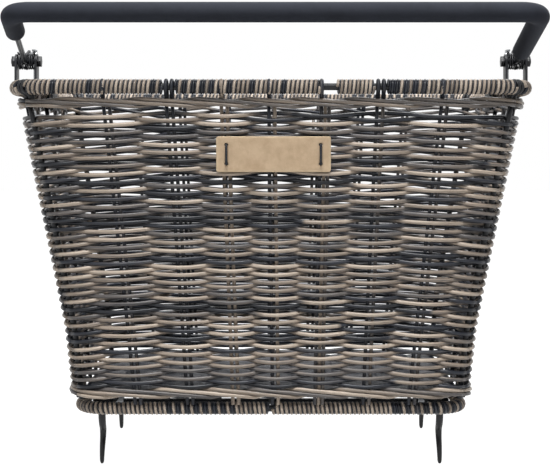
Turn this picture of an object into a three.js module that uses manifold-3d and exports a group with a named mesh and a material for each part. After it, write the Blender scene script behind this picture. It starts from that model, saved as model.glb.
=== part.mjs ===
// A woven bicycle basket with a fold-down handle that works four carrier hooks.
// Millimetres, +Z up, +X to the right along the long side, -Y towards the front.
// The origin is the middle of the underside, where the base runner rests on a carrier.

import * as THREE from 'three';
import { mergeVertices } from 'three/addons/utils/BufferGeometryUtils.js';
import Module from 'manifold-3d';

const wasm = await Module();
wasm.setup();

// Basket body, over the wrapped rims
const topWidth = 447;
const topDepth = 320;
const bottomWidth = 343;
const bottomDepth = 240;
const bodyHeight = 288;
const topRimDiameter = 13.5;
const bottomRimDiameter = 11.3;
const rimWireDiameter = 6;
const topCornerRadius = 32;
const bottomCornerRadius = 26;
const clearance = 0.3;
const overcut = 2;

// Woven walls: the side view is a straight slope down to a knee, then steeper
const wallThickness = 10.4;
const wallTopSetback = 5.3;
const wallBottomOverhang = 4.3;
const wallTopGap = 4;
const kneeHeight = 75;
const kneeInset = 4;
const cornerPostDiameter = 5;
const stakeDiameter = 3.7;
const rimWrapGap = [43, 54];
const bottomWrapGap = [-0.5, 0.5];
const wireSeam = [-clearance / 2, clearance / 2];

// Middle of each front stake along its wall, as a share of the width over the rims
const frontStakeLowShares = [-0.3321, -0.2014, -0.0874, 0.0118, 0.1199, 0.2387, 0.3527];
const frontStakeHighShares = [-0.3087, -0.1902, -0.0872, 0.0022, 0.1029, 0.2058, 0.3268];
const frontStakeRods = [2, 2, 2, 2, 3, 2, 2];
const rearStakeCount = 7;
const rearStakePitchLow = bottomWidth * 0.1137;
const rearStakePitchHigh = topWidth * 0.1051;
const sideStakeCount = 5;
const sideStakePitchLow = bottomDepth * 0.1667;
const sideStakePitchHigh = topDepth * 0.1563;

// Floor
const floorUnderside = 14;
const floorThickness = 6;
const floorWireDiameter = 4;
const floorWireCount = 7;
const outerFloorWireInset = 36.5;
const floorWirePitch = (bottomWidth - 2 * outerFloorWireInset) / (floorWireCount - 1);
const floorWireHalfLength = bottomDepth / 2 - 12;
const floorCrossWirePlaces = [-bottomDepth * 0.2167, bottomDepth * 0.2167];
const floorCrossWireHalfLength = bottomWidth / 2 - 28.5;
const runnerLength = bottomWidth - 57;
const runnerWidth = 20;

// Leather label on the front wall
const labelWidth = 96;
const labelHeight = 30;
const labelThickness = 2.4;
const labelCornerRadius = 2;
const labelCentreX = 2.5;
const labelCentreHeight = bodyHeight - 63;
const labelHoleRadius = 1.7;
const labelHoleInset = 8.5;
const labelHoleSpacing = 16;
const tieRadius = 1.1;
const tieBendRadius = 1.6;

// Handle: its angle above level at rest, and the reach of its arms
const handleRestAngle = THREE.MathUtils.degToRad(10);
const armLength = topDepth / 2 + 12;
const pivotHalfSpacing = topWidth / 2 + 7.4;
const barHalfSpacing = topWidth / 2 - 3.9;
const barShift = 4.3;
const armThickness = 2.2;
const armWidth = 9.4;
const armEyeRadius = 8;
const armBendStart = 16;
const gripDiameter = 17;
const handleTubeDiameter = 10;
const handleTubeBore = 7.6;
const elbowRadius = 18;
const gripLegLeft = 64;
const gripLegRight = 134;
const tubeInsetInGrip = 6;

// Hinge at the middle of each short side
const pivotHeight = bodyHeight + 24;
const boltDiameter = 6;
const boltHeadRadius = 5.6;
const boltHeadLength = 3.2;
const nutLength = 3;
const boltEndOverNut = 0.6;
const bracketThickness = 2;
const bracketWidth = 26;
const cheekWidth = 14;
const innerCheekGap = 7.3;
const outerCheekGap = 7.3;
const bracketLegDrop = 24.7;
const bracketInnerSetback = 5.9;
const rivetRadius = 1.6;
const rivetHeadRadius = 3.2;
const rivetHeadLength = 1.8;
const rivetSpacing = 17;

// Return springs round the bolt, one on each side of the arm
const springWireDiameter = 1.6;
const springCoilRadius = 6.9;
const springPitch = 2.05;
const springTurns = 2.5;
const springLegLength = 7;
const springHookReach = 1.6;
const springHookStart = 14;
const springStepsPerTurn = 8;

// Crank pin, push rods outside the short walls, and their forks
const crankRadius = 15;
const crankAngle = THREE.MathUtils.degToRad(30);
const crankPinDiameter = 4.4;
const crankPinOverhang = 1;
const crankNoseWall = 2;
const rodDiameter = 4;
const rodRimGap = 0.5;
const rodWallGap = 1.5;
const rodRise = 3.1;
const rodTopX = topWidth / 2 + rodRimGap + rodDiameter / 2;
const rodLowX = bottomWidth / 2 - 15.5;
const rodBendRadius = 8;
const forkThickness = 3;
const forkPad = 2;
const forkSlackAbove = 0.5;
const forkSlackBelow = 1.5;
const forkTipReach = 4.6;

// Hook shafts under the floor, their crank arms and the four hooks
const shaftDiameter = 5.6;
const shaftHeight = 5;
const shaftHalfSpacing = bottomDepth / 2 - 42;
const shaftBendRadius = 4;
const crankArmLength = 50;
const yokeLever = 46;
const yokeWidth = 7;
const yokeThickness = 2;
const yokeGap = 0.6;
const stirrupWidth = 3;
const stirrupThickness = 2.2;
const stirrupDrop = 6.1;
const stirrupLap = 0.2;
const footBarThickness = 2.2;
const hookHalfSpacing = rodLowX - 6;
const hookDiameter = 6.2;
const hookReach = 55;
const hookCatch = 9.5;
const hookHubRadius = 4.9;
const hookHubLength = 10;
const hookHubInset = 3.5;
const clipRadius = 4.7;
const clipLength = 9;

// Places worked out from the sizes above
const topRimRadius = topRimDiameter / 2;
const bottomRimRadius = bottomRimDiameter / 2;
const topRimHeight = bodyHeight - topRimRadius;
const bottomRimHeight = bottomRimRadius;
const wallTop = topRimHeight - topRimRadius - wallTopGap;
const wallBottom = bottomRimDiameter + clearance;
const wireUnderside = floorUnderside - clearance - floorWireDiameter;
const armOuterX = pivotHalfSpacing + armThickness / 2;
const armInnerX = pivotHalfSpacing - armThickness / 2;
const innerCheekX = armInnerX - innerCheekGap;
const outerCheekX = armOuterX + outerCheekGap;

// One material for each finish
function finish(color, roughness, metalness) {
  return new THREE.MeshStandardMaterial({ color, roughness, metalness });
}
const wicker = finish(0x7d6f60, 0.55, 0);
const darkWicker = finish(0x4d463f, 0.55, 0);
const blackSteel = finish(0x202226, 0.45, 0.6);
const zincSteel = finish(0x9a9da0, 0.35, 0.9);
const foam = finish(0x3a3d44, 0.85, 0);
const leather = finish(0xb08a60, 0.7, 0);

const basket = new THREE.Group();

function addMesh(name, geometry, material, parent = basket) {
  const mesh = new THREE.Mesh(geometry, material);
  mesh.name = name;
  parent.add(mesh);
  return mesh;
}

// A path whose steps fall exactly on its own points
class StationPath extends THREE.Curve {
  constructor(points) {
    super();
    this.points = points;
  }

  getPoint(t) {
    const last = this.points.length - 1;
    const place = THREE.MathUtils.clamp(t, 0, 1) * last;
    const index = Math.min(Math.floor(place), last - 1);
    return this.points[index].clone().lerp(this.points[index + 1], place - index);
  }

  getPointAt(u) {
    return this.getPoint(u);
  }

  getTangentAt(u) {
    const last = this.points.length - 1;
    const index = Math.round(u * last);
    const here = this.points[index];
    const before = this.points[Math.max(index - 1, 0)];
    const after = this.points[Math.min(index + 1, last)];
    const tangent = new THREE.Vector3();
    tangent.add(here.clone().sub(before).normalize());
    tangent.add(after.clone().sub(here).normalize());
    return tangent.normalize();
  }
}

// A circle drawn with straight sides that touch it outside, so the radius is kept
function circleShape(radius, sides, holeRadius = 0, holeSides = sides) {
  const shape = new THREE.Shape(circlePoints(radius, sides));
  if (holeRadius > 0) {
    shape.holes.push(new THREE.Path(circlePoints(holeRadius, holeSides)));
  }
  return shape;
}

function circlePoints(radius, sides) {
  const points = [];
  for (let i = 0; i < sides; i += 1) {
    const angle = (i + 0.5) * 2 * Math.PI / sides;
    points.push(new THREE.Vector2(radius * Math.cos(angle), radius * Math.sin(angle)));
  }
  return points;
}

function sweep(shape, points) {
  const options = { steps: points.length - 1, extrudePath: new StationPath(points) };
  return new THREE.ExtrudeGeometry(shape, options);
}

function rod(points, diameter, sides = 8) {
  return sweep(circleShape(diameter / 2, sides), points);
}

function vector(x, y, z) {
  return new THREE.Vector3(x, y, z);
}

// The path through some corner points, with each inner corner rounded
function roundedPath(corners, radius, steps) {
  const points = [corners[0]];
  for (let i = 1; i < corners.length - 1; i += 1) {
    const back = corners[i - 1].clone().sub(corners[i]).normalize();
    const ahead = corners[i + 1].clone().sub(corners[i]).normalize();
    const half = back.angleTo(ahead) / 2;
    const start = corners[i].clone().addScaledVector(back, radius / Math.tan(half));
    const end = corners[i].clone().addScaledVector(ahead, radius / Math.tan(half));
    const bend = new THREE.QuadraticBezierCurve3(start, corners[i], end);
    points.push(...bend.getPoints(steps));
  }
  points.push(corners[corners.length - 1]);
  return points;
}

// A rounded rectangle at one height that starts and ends either side of a seam at the front
function ringPoints(halfX, halfY, radius, height, seam, side = -1) {
  const points = [vector(seam[1], side * halfY, height)];
  const steps = 5;
  for (let corner = 0; corner < 4; corner += 1) {
    const centreX = (corner === 0 || corner === 1 ? 1 : -1) * (halfX - radius);
    const centreY = (corner === 0 || corner === 3 ? side : -side) * (halfY - radius);
    for (let step = 0; step <= steps; step += 1) {
      const angle = (corner - 1 + step / steps) * Math.PI / 2;
      const x = centreX + radius * Math.cos(angle);
      const y = centreY - side * radius * Math.sin(angle);
      points.push(vector(x, y, height));
    }
  }
  points.push(vector(seam[0], side * halfY, height));
  return points;
}

// A closed body through level sections, lowest first, that have the same number of points
function loft(levels) {
  const clockwise = THREE.ShapeUtils.isClockWise(levels[0]);
  const sections = levels.map((level) => (clockwise ? [...level].reverse() : level));
  const count = sections[0].length;
  const vertices = sections.flat().flatMap((point) => [point.x, point.y, point.z]);
  const outline = sections[0].map((point) => new THREE.Vector2(point.x, point.y));
  const faces = [];
  const top = (sections.length - 1) * count;
  for (const [a, b, c] of THREE.ShapeUtils.triangulateShape(outline, [])) {
    faces.push(a, c, b, top + a, top + b, top + c);
  }
  for (let level = 0; level < sections.length - 1; level += 1) {
    for (let i = 0; i < count; i += 1) {
      const a = level * count + i;
      const b = level * count + (i + 1) % count;
      faces.push(a, b, b + count, a, b + count, a + count);
    }
  }
  const geometry = new THREE.BufferGeometry();
  geometry.setAttribute('position', new THREE.Float32BufferAttribute(vertices, 3));
  geometry.setIndex(faces);
  return geometry;
}

function toSolid(geometry) {
  const bare = geometry.clone();
  bare.deleteAttribute('normal');
  bare.deleteAttribute('uv');
  const merged = mergeVertices(bare, 1e-4);
  const vertProperties = new Float32Array(merged.attributes.position.array);
  const triVerts = new Uint32Array(merged.index.array);
  return new wasm.Manifold(new wasm.Mesh({ numProp: 3, vertProperties, triVerts }));
}

function toGeometry(solid) {
  const mesh = solid.getMesh();
  const geometry = new THREE.BufferGeometry();
  geometry.setAttribute('position', new THREE.Float32BufferAttribute(mesh.vertProperties, 3));
  geometry.setIndex([...mesh.triVerts]);
  const flat = geometry.toNonIndexed();
  flat.computeVertexNormals();
  return flat;
}

function joined(geometries) {
  return toGeometry(geometries.map(toSolid).reduce((sum, solid) => sum.add(solid)));
}

function cut(geometry, tools) {
  return toGeometry(tools.map(toSolid).reduce((rest, tool) => rest.subtract(tool), toSolid(geometry)));
}

function box(low, high) {
  const size = high.map((value, i) => value - low[i]);
  const geometry = new THREE.BoxGeometry(...size);
  return geometry.translate(...low.map((value, i) => value + size[i] / 2));
}

// A bar of a flat outline drawn in Y and Z, from one X to another
function barAlongX(shape, fromX, toX) {
  const geometry = new THREE.ExtrudeGeometry(shape, { depth: toX - fromX, bevelEnabled: false });
  geometry.rotateX(Math.PI / 2);
  geometry.rotateZ(Math.PI / 2);
  return geometry.translate(fromX, 0, 0);
}

function cylinderAlongX(radius, fromX, toX, y, z, sides = 12) {
  const points = [vector(fromX, y, z), vector(toX, y, z)];
  return sweep(circleShape(radius, sides), points);
}

// Half the width of a wall's middle surface at a height, with the knee
function wallHalf(height, bottomHalf, topHalf) {
  const slope = (topHalf - bottomHalf) / (wallTop - wallBottom);
  const knee = bottomHalf + slope * (kneeHeight - wallBottom) - kneeInset;
  if (height < kneeHeight) {
    const share = (height - wallBottom) / (kneeHeight - wallBottom);
    return bottomHalf + (knee - bottomHalf) * share;
  }
  const share = (height - kneeHeight) / (wallTop - kneeHeight);
  return knee + (topHalf - knee) * share;
}

const bottomShift = wallBottomOverhang - wallThickness / 2;
const topShift = -wallTopSetback - wallThickness / 2;

function wallHalfX(height) {
  return wallHalf(height, bottomWidth / 2 + bottomShift, topWidth / 2 + topShift);
}

function wallHalfY(height) {
  return wallHalf(height, bottomDepth / 2 + bottomShift, topDepth / 2 + topShift);
}

function wallCornerRadius(height) {
  const share = (height - wallBottom) / (wallTop - wallBottom);
  return bottomCornerRadius + (topCornerRadius - bottomCornerRadius) * share;
}

// Each wall is drawn as if it were the front one, and turned to its side.
// along is the wall's own length direction and out points away from the basket.
const sides = {
  front: { along: vector(1, 0, 0), out: vector(0, -1, 0), halfAlong: wallHalfX, halfOut: wallHalfY },
  right: { along: vector(0, 1, 0), out: vector(1, 0, 0), halfAlong: wallHalfY, halfOut: wallHalfX },
  rear: { along: vector(-1, 0, 0), out: vector(0, 1, 0), halfAlong: wallHalfX, halfOut: wallHalfY },
  left: { along: vector(0, -1, 0), out: vector(-1, 0, 0), halfAlong: wallHalfY, halfOut: wallHalfX },
};

function placeOnSide(side, u, v, height) {
  const point = side.along.clone().multiplyScalar(u).addScaledVector(side.out, v);
  return point.setZ(height);
}

// The wall's outline at one height, from corner to corner, each corner cut on its mitre
function wallSection(side, height) {
  const radius = wallCornerRadius(height);
  const steps = 3;
  const mitreGap = clearance / 2 / radius;
  const centreU = side.halfAlong(height) - radius;
  const centreV = side.halfOut(height) - radius;
  const edge = (offset) => {
    const points = [];
    for (const end of [1, -1]) {
      for (let step = 0; step <= steps; step += 1) {
        const share = end > 0 ? step / steps : 1 - step / steps;
        const angle = Math.PI / 4 + mitreGap + (Math.PI / 4 - mitreGap) * share;
        const u = end * (centreU + (radius + offset) * Math.cos(angle));
        const v = centreV + (radius + offset) * Math.sin(angle);
        points.push(placeOnSide(side, u, v, height));
      }
    }
    return points;
  };
  const outer = edge(wallThickness / 2);
  const inner = edge(-wallThickness / 2);
  return [...outer.reverse(), ...inner];
}

// Where a stake stands at a height, a little in or out along its wall
function stakePoint(side, low, high, shift, height) {
  const share = (height - wallBottom) / (wallTop - wallBottom);
  return placeOnSide(side, low + (high - low) * share + shift, side.halfOut(height), height);
}

// Stakes stop just clear of the rim wraps above and below them
const lowOffset = bottomRimRadius + bottomShift - stakeDiameter / 2;
const stakeBottom = bottomRimHeight + Math.sqrt(bottomRimRadius ** 2 - lowOffset ** 2) + clearance;
const highOffset = -(topRimRadius + topShift) - stakeDiameter / 2;
const stakeTop = topRimHeight - Math.sqrt(topRimRadius ** 2 - highOffset ** 2) - clearance;

const borderHeight = wallBottom + stakeDiameter / 2;
const stakePitch = stakeDiameter + clearance;

function stakeRods(side, low, high, count) {
  const rods = [];
  for (let i = 0; i < count; i += 1) {
    const shift = (i - (count - 1) / 2) * stakePitch;
    const heights = [stakeBottom, kneeHeight, stakeTop];
    const points = heights.map((height) => stakePoint(side, low, high, shift, height));
    rods.push(rod(points, stakeDiameter, 6));
  }
  return rods;
}

// An upright slot of the wall, as wide as asked, from one height to another
function wallSlot(side, low, high, width, heights) {
  const halfDepth = stakeDiameter / 2 + clearance;
  const sections = heights.map((height) => {
    const middle = stakePoint(side, low, high, 0, height);
    const sectionCorners = [[-1, 1], [1, 1], [1, -1], [-1, -1]];
    return sectionCorners.map(([u, v]) => middle.clone()
      .addScaledVector(side.along, u * width / 2)
      .addScaledVector(side.out, v * halfDepth));
  });
  return loft(sections);
}

function cornerPoint(signX, signY, height) {
  const radius = wallCornerRadius(height);
  const reach = radius * Math.SQRT1_2;
  const x = signX * (wallHalfX(height) - radius + reach);
  const y = signY * (wallHalfY(height) - radius + reach);
  return vector(x, y, height);
}

const corners = [[-1, -1], [1, -1], [1, 1], [-1, 1]];

function cornerRod(signX, signY, diameter, from, to) {
  const heights = [from, kneeHeight, to];
  return rod(heights.map((height) => cornerPoint(signX, signY, height)), diameter);
}

// The channels that the corner posts leave in the ends of the walls
function cornerSlots() {
  const diameter = cornerPostDiameter + 4 * clearance;
  return corners.map(([x, y]) => cornerRod(x, y, diameter, wallBottom - overcut, wallTop + overcut));
}

function evenStakes(count, pitch) {
  return Array.from({ length: count }, (_, i) => (i - (count - 1) / 2) * pitch);
}

function buildWall(name, low, high, rodCounts) {
  const side = sides[name];
  const heights = [wallBottom, kneeHeight, wallTop];
  const slab = loft(heights.map((height) => wallSection(side, height)));
  const slots = low.map((place, i) => {
    const width = rodCounts[i] * stakePitch + clearance;
    return wallSlot(side, place, high[i], width, [wallBottom - overcut, kneeHeight, wallTop + overcut]);
  });
  const first = low[0];
  const last = low[low.length - 1];
  const borderMiddle = (first + last) / 2;
  const borderWidth = last - first + 2 * stakePitch + 2 * clearance;
  const borderTop = borderHeight + stakeDiameter / 2 + clearance;
  const borderHeights = [wallBottom - overcut, borderTop];
  slots.push(wallSlot(side, borderMiddle, borderMiddle, borderWidth, borderHeights));
  addMesh(`${name}_weave`, cut(slab, [...slots, ...cornerSlots()]), wicker);
  const rods = low.flatMap((place, i) => stakeRods(side, place, high[i], rodCounts[i]));
  const borderEnds = [first - stakePitch / 2, last + stakePitch / 2];
  const border = borderEnds.map((place) => stakePoint(side, place, place, 0, borderHeight));
  addMesh(`${name}_stakes`, joined([...rods, rod(border, stakeDiameter, 6)]), darkWicker);
}

function buildWalls() {
  const frontLow = frontStakeLowShares.map((share) => share * bottomWidth);
  const frontHigh = frontStakeHighShares.map((share) => share * topWidth);
  buildWall('front', frontLow, frontHigh, frontStakeRods);
  const rearLow = evenStakes(rearStakeCount, rearStakePitchLow);
  const rearHigh = evenStakes(rearStakeCount, rearStakePitchHigh);
  buildWall('rear', rearLow, rearHigh, rearLow.map(() => 2));
  for (const name of ['left', 'right']) {
    const low = evenStakes(sideStakeCount, sideStakePitchLow);
    const high = evenStakes(sideStakeCount, sideStakePitchHigh);
    buildWall(name, low, high, low.map(() => 2));
  }
  const cornerNames = ['front_left', 'front_right', 'rear_right', 'rear_left'];
  corners.forEach(([x, y], i) => {
    const post = cornerRod(x, y, cornerPostDiameter, stakeBottom, stakeTop);
    addMesh(`${cornerNames[i]}_post`, post, blackSteel);
  });
}

// The strand wound round a rim, as a tube that is open at the gap between its two ends,
// and the wire ring inside it, whose ends meet at the rear
function buildRim(name, width, depth, diameter, cornerRadius, height, wrapGap, wrapSide) {
  const halfX = width / 2 - diameter / 2;
  const halfY = depth / 2 - diameter / 2;
  const wrapPath = ringPoints(halfX, halfY, cornerRadius, height, wrapGap, wrapSide);
  const bore = rimWireDiameter / 2 + 2 * clearance;
  const wrap = sweep(circleShape(diameter / 2, 10, bore, 6), wrapPath);
  addMesh(`${name}_rim_wrap`, wrap, wicker);
  const wirePath = ringPoints(halfX, halfY, cornerRadius, height, wireSeam, 1);
  addMesh(`${name}_rim_wire`, rod(wirePath, rimWireDiameter, 6), blackSteel);
}

function buildRims() {
  buildRim('top', topWidth, topDepth, topRimDiameter, topCornerRadius, topRimHeight,
    rimWrapGap, -1);
  buildRim('bottom', bottomWidth, bottomDepth, bottomRimDiameter, bottomCornerRadius,
    bottomRimHeight, bottomWrapGap, 1);
}

function buildFloor() {
  const halfX = wallHalfX(floorUnderside) - wallThickness / 2 - clearance;
  const halfY = wallHalfY(floorUnderside) - wallThickness / 2 - clearance;
  const radius = wallCornerRadius(floorUnderside) - wallThickness / 2;
  const outline = new THREE.Shape();
  outline.moveTo(-halfX + radius, -halfY);
  outline.absarc(halfX - radius, -halfY + radius, radius, -Math.PI / 2, 0);
  outline.absarc(halfX - radius, halfY - radius, radius, 0, Math.PI / 2);
  outline.absarc(-halfX + radius, halfY - radius, radius, Math.PI / 2, Math.PI);
  outline.absarc(-halfX + radius, -halfY + radius, radius, Math.PI, 1.5 * Math.PI);
  const options = { depth: floorThickness, bevelEnabled: false, curveSegments: 6 };
  const slab = new THREE.ExtrudeGeometry(outline, options);
  addMesh('floor_weave', slab.translate(0, 0, floorUnderside), wicker);
  const wireHeight = wireUnderside + floorWireDiameter / 2;
  const wires = evenStakes(floorWireCount, floorWirePitch).map((x) => {
    const ends = [vector(x, -floorWireHalfLength, wireHeight), vector(x, floorWireHalfLength, wireHeight)];
    return rod(ends, floorWireDiameter);
  });
  const crossWires = floorCrossWirePlaces.map((y) => {
    const reach = floorCrossWireHalfLength;
    return rod([vector(-reach, y, wireHeight), vector(reach, y, wireHeight)], floorWireDiameter);
  });
  addMesh('floor_grid', joined([...wires, ...crossWires]), blackSteel);
  const runnerTop = wireUnderside - clearance;
  const low = [-runnerLength / 2, -runnerWidth / 2, 0];
  const high = [runnerLength / 2, runnerWidth / 2, runnerTop];
  addMesh('base_runner', box(low, high), blackSteel);
}

// The label and its ties are drawn flat, facing -Y, and leaned back with the front wall
function buildLabel() {
  const low = labelCentreHeight - labelHeight / 2;
  const high = labelCentreHeight + labelHeight / 2;
  const lean = Math.atan((wallHalfY(high) - wallHalfY(low)) / labelHeight);
  const group = new THREE.Group();
  const faceY = wallHalfY(labelCentreHeight) + wallThickness / 2 / Math.cos(lean);
  group.position.set(labelCentreX, -faceY - clearance, labelCentreHeight);
  group.rotation.x = lean;
  const w = labelWidth / 2;
  const h = labelHeight / 2;
  const r = labelCornerRadius;
  const outline = new THREE.Shape();
  outline.moveTo(-w + r, -h);
  outline.absarc(w - r, -h + r, r, -Math.PI / 2, 0);
  outline.absarc(w - r, h - r, r, 0, Math.PI / 2);
  outline.absarc(-w + r, h - r, r, Math.PI / 2, Math.PI);
  outline.absarc(-w + r, -h + r, r, Math.PI, 1.5 * Math.PI);
  for (const end of [-1, 1]) {
    for (const level of [-1, 1]) {
      const hole = new THREE.Path();
      hole.absarc(end * (w - labelHoleInset), level * labelHoleSpacing / 2, labelHoleRadius, 0, 2 * Math.PI);
      outline.holes.push(hole);
    }
  }
  const options = { depth: labelThickness, bevelEnabled: false, curveSegments: 3 };
  const plate = new THREE.ExtrudeGeometry(outline, options);
  addMesh('leather_label', plate.rotateX(Math.PI / 2), leather, group);
  for (const [name, end] of [['left', -1], ['right', 1]]) {
    const x = end * (w - labelHoleInset);
    const front = -labelThickness - clearance - tieRadius;
    const reach = labelHoleSpacing / 2;
    const route = [
      vector(x, -clearance, -reach),
      vector(x, front, -reach),
      vector(x, front, reach),
      vector(x, -clearance, reach),
    ];
    addMesh(`label_tie_${name}`, rod(roundedPath(route, tieBendRadius, 3), 2 * tieRadius, 6), blackSteel, group);
  }
  basket.add(group);
}

// Handle: everything here is drawn with the arms level and turned up to the rest angle
const handle = new THREE.Group();
handle.position.set(0, 0, pivotHeight);
handle.rotation.x = -handleRestAngle;
basket.add(handle);

// How far an arm stands from the middle, -1 for the left arm and 1 for the right one.
// The bar sits a little to the right, so the left arm leans in further.
function armX(distance, end) {
  const splay = (pivotHalfSpacing - barHalfSpacing - end * barShift) / (armLength - armBendStart);
  return pivotHalfSpacing - splay * Math.max(distance - armBendStart, 0);
}

// The tube's route, from a distance along the left arm, round the bar to the right arm
function handlePath(leftStart, rightStart) {
  const route = [
    vector(-armX(leftStart, -1), -leftStart, 0),
    vector(-armX(armLength, -1), -armLength, 0),
    vector(armX(armLength, 1), -armLength, 0),
    vector(armX(rightStart, 1), -rightStart, 0),
  ];
  return roundedPath(route, elbowRadius, 6);
}

function buildHandle() {
  const leftEnd = armLength - gripLegLeft;
  const rightEnd = armLength - gripLegRight;
  const bore = handleTubeDiameter / 2 + clearance;
  const gripPath = handlePath(leftEnd, rightEnd);
  addMesh('foam_grip', sweep(circleShape(gripDiameter / 2, 12, bore, 10), gripPath), foam, handle);
  const tubePath = handlePath(leftEnd + tubeInsetInGrip, rightEnd + tubeInsetInGrip);
  const tube = sweep(circleShape(handleTubeDiameter / 2, 10, handleTubeBore / 2, 6), tubePath);
  addMesh('handle_tube', tube, blackSteel, handle);
  for (const [name, end, legEnd] of [['left', -1, leftEnd], ['right', 1, rightEnd]]) {
    addMesh(`${name}_handle_arm`, handleArm(end, legEnd + tubeInsetInGrip - clearance), blackSteel, handle);
    const angle = crankAngle + handleRestAngle;
    const y = crankRadius * Math.cos(angle);
    const z = crankRadius * Math.sin(angle);
    const tip = rodTopX - forkThickness / 2 - crankPinOverhang;
    const pin = cylinderAlongX(crankPinDiameter / 2, tip, armInnerX - clearance, y, z, 10);
    addMesh(`${name}_crank_pin`, end < 0 ? mirrored(pin) : pin, zincSteel, handle);
  }
}

// A flat arm: an eye round the bolt, a nose that carries the crank pin, and the strip.
// Its outline is drawn in distance along the arm and height, then given its thickness.
function handleArm(end, length) {
  const angle = crankAngle + handleRestAngle;
  const noseRadius = crankPinDiameter / 2 + crankNoseWall;
  const nose = [-crankRadius * Math.cos(angle), crankRadius * Math.sin(angle)];
  const outline = new THREE.Shape();
  const eyeStart = Math.asin(armWidth / 2 / armEyeRadius);
  outline.moveTo(length, -armWidth / 2);
  outline.lineTo(length, armWidth / 2);
  outline.lineTo(armBendStart, armWidth / 2);
  outline.absarc(0, 0, armEyeRadius, eyeStart, Math.PI - angle - Math.PI / 3);
  outline.absarc(nose[0], nose[1], noseRadius, Math.PI / 2 - angle, 1.5 * Math.PI - angle);
  outline.absarc(0, 0, armEyeRadius, Math.PI - angle + Math.PI / 3, 2 * Math.PI - eyeStart);
  outline.lineTo(armBendStart, -armWidth / 2);
  const hole = new THREE.Path(circlePoints(boltDiameter / 2 + clearance, 12));
  outline.holes.push(hole);
  const options = { depth: armThickness, bevelEnabled: false, curveSegments: 5 };
  const plate = new THREE.ExtrudeGeometry(outline, options);
  const position = plate.attributes.position;
  for (let i = 0; i < position.count; i += 1) {
    const distance = position.getX(i);
    const height = position.getY(i);
    const depth = position.getZ(i) - armThickness / 2;
    position.setXYZ(i, armX(distance, end) + depth, -distance, height);
  }
  const solid = toSolid(plate);
  const geometry = solid.volume() > 0 ? plate : flipped(plate);
  return end < 0 ? mirrored(geometry) : geometry;
}

// The same solid with its faces turned the other way out
function flipped(geometry) {
  const bare = geometry.clone();
  const position = bare.attributes.position;
  for (let i = 0; i < position.count; i += 3) {
    const second = vector(0, 0, 0).fromBufferAttribute(position, i + 1);
    const third = vector(0, 0, 0).fromBufferAttribute(position, i + 2);
    position.setXYZ(i + 1, third.x, third.y, third.z);
    position.setXYZ(i + 2, second.x, second.y, second.z);
  }
  return bare;
}

// The left-hand twin of a right-hand piece
function mirrored(geometry) {
  const twin = geometry.index ? geometry.toNonIndexed() : geometry.clone();
  return flipped(twin.scale(-1, 1, 1));
}

function bothSides(piece, geometry, material, parent = basket) {
  addMesh(`left_${piece}`, mirrored(geometry), material, parent);
  addMesh(`right_${piece}`, geometry, material, parent);
}

// A saddle over the rim that carries a fork with two cheeks, riveted under the rim
function buildBrackets() {
  const plateLow = bodyHeight + clearance;
  const plateHigh = plateLow + bracketThickness;
  const legBottom = plateHigh - bracketLegDrop;
  const outerLegX = topWidth / 2 + clearance;
  const innerLegX = topWidth / 2 - topRimDiameter - bracketInnerSetback;
  const half = bracketWidth / 2;
  const saddle = [
    box([innerLegX, -half, plateLow], [outerCheekX + bracketThickness, half, plateHigh]),
    box([innerLegX, -half, legBottom], [innerLegX + bracketThickness, half, plateHigh]),
    box([outerLegX, -half, legBottom], [outerLegX + bracketThickness, half, plateHigh]),
  ];
  const cheek = new THREE.Shape();
  cheek.moveTo(-cheekWidth / 2, plateLow + clearance);
  cheek.lineTo(cheekWidth / 2, plateLow + clearance);
  cheek.absarc(0, pivotHeight, cheekWidth / 2, 0, Math.PI);
  const boltHole = new THREE.Path();
  boltHole.absarc(0, pivotHeight, boltDiameter / 2 + clearance, 0, 2 * Math.PI);
  cheek.holes.push(boltHole);
  const cheeks = [innerCheekX - bracketThickness, outerCheekX].map((x) => (
    barAlongX(cheek, x, x + bracketThickness)));
  const rivetHeight = topRimHeight - topRimRadius - clearance - rivetRadius;
  const holes = [-1, 1].map((end) => cylinderAlongX(rivetRadius + clearance,
    innerLegX - 1, outerLegX + bracketThickness + 1, end * rivetSpacing / 2, rivetHeight, 8));
  const body = [...saddle, ...cheeks].map(toSolid).reduce((sum, solid) => sum.add(solid));
  const bracket = holes.map(toSolid).reduce((rest, hole) => rest.subtract(hole), body);
  bothSides('hinge_bracket', toGeometry(bracket), blackSteel);
  for (const [place, end] of [['front', -1], ['rear', 1]]) {
    const y = end * rivetSpacing / 2;
    const from = innerLegX - clearance;
    const to = outerLegX + bracketThickness + clearance;
    const rivet = joined([
      cylinderAlongX(rivetRadius, from - 1, to + 1, y, rivetHeight, 8),
      cylinderAlongX(rivetHeadRadius, from - rivetHeadLength, from, y, rivetHeight),
      cylinderAlongX(rivetHeadRadius, to, to + rivetHeadLength, y, rivetHeight),
    ]);
    bothSides(`${place}_rivet`, rivet, zincSteel);
  }
}

function buildPivots() {
  const headEnd = innerCheekX - bracketThickness - clearance;
  const nutStart = outerCheekX + bracketThickness + clearance;
  const boltEnd = nutStart + nutLength + boltEndOverNut;
  const bolt = joined([
    cylinderAlongX(boltDiameter / 2, headEnd - 1, boltEnd, 0, pivotHeight),
    cylinderAlongX(boltHeadRadius, headEnd - boltHeadLength, headEnd, 0, pivotHeight, 6),
  ]);
  bothSides('pivot_bolt', bolt, blackSteel);
  const nutShape = circleShape(boltHeadRadius, 6, boltDiameter / 2 + clearance, 12);
  const nut = sweep(nutShape, [vector(nutStart, 0, 0), vector(nutStart + nutLength, 0, 0)]);
  bothSides('pivot_nut', nut.translate(0, 0, pivotHeight), blackSteel);
}

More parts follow.
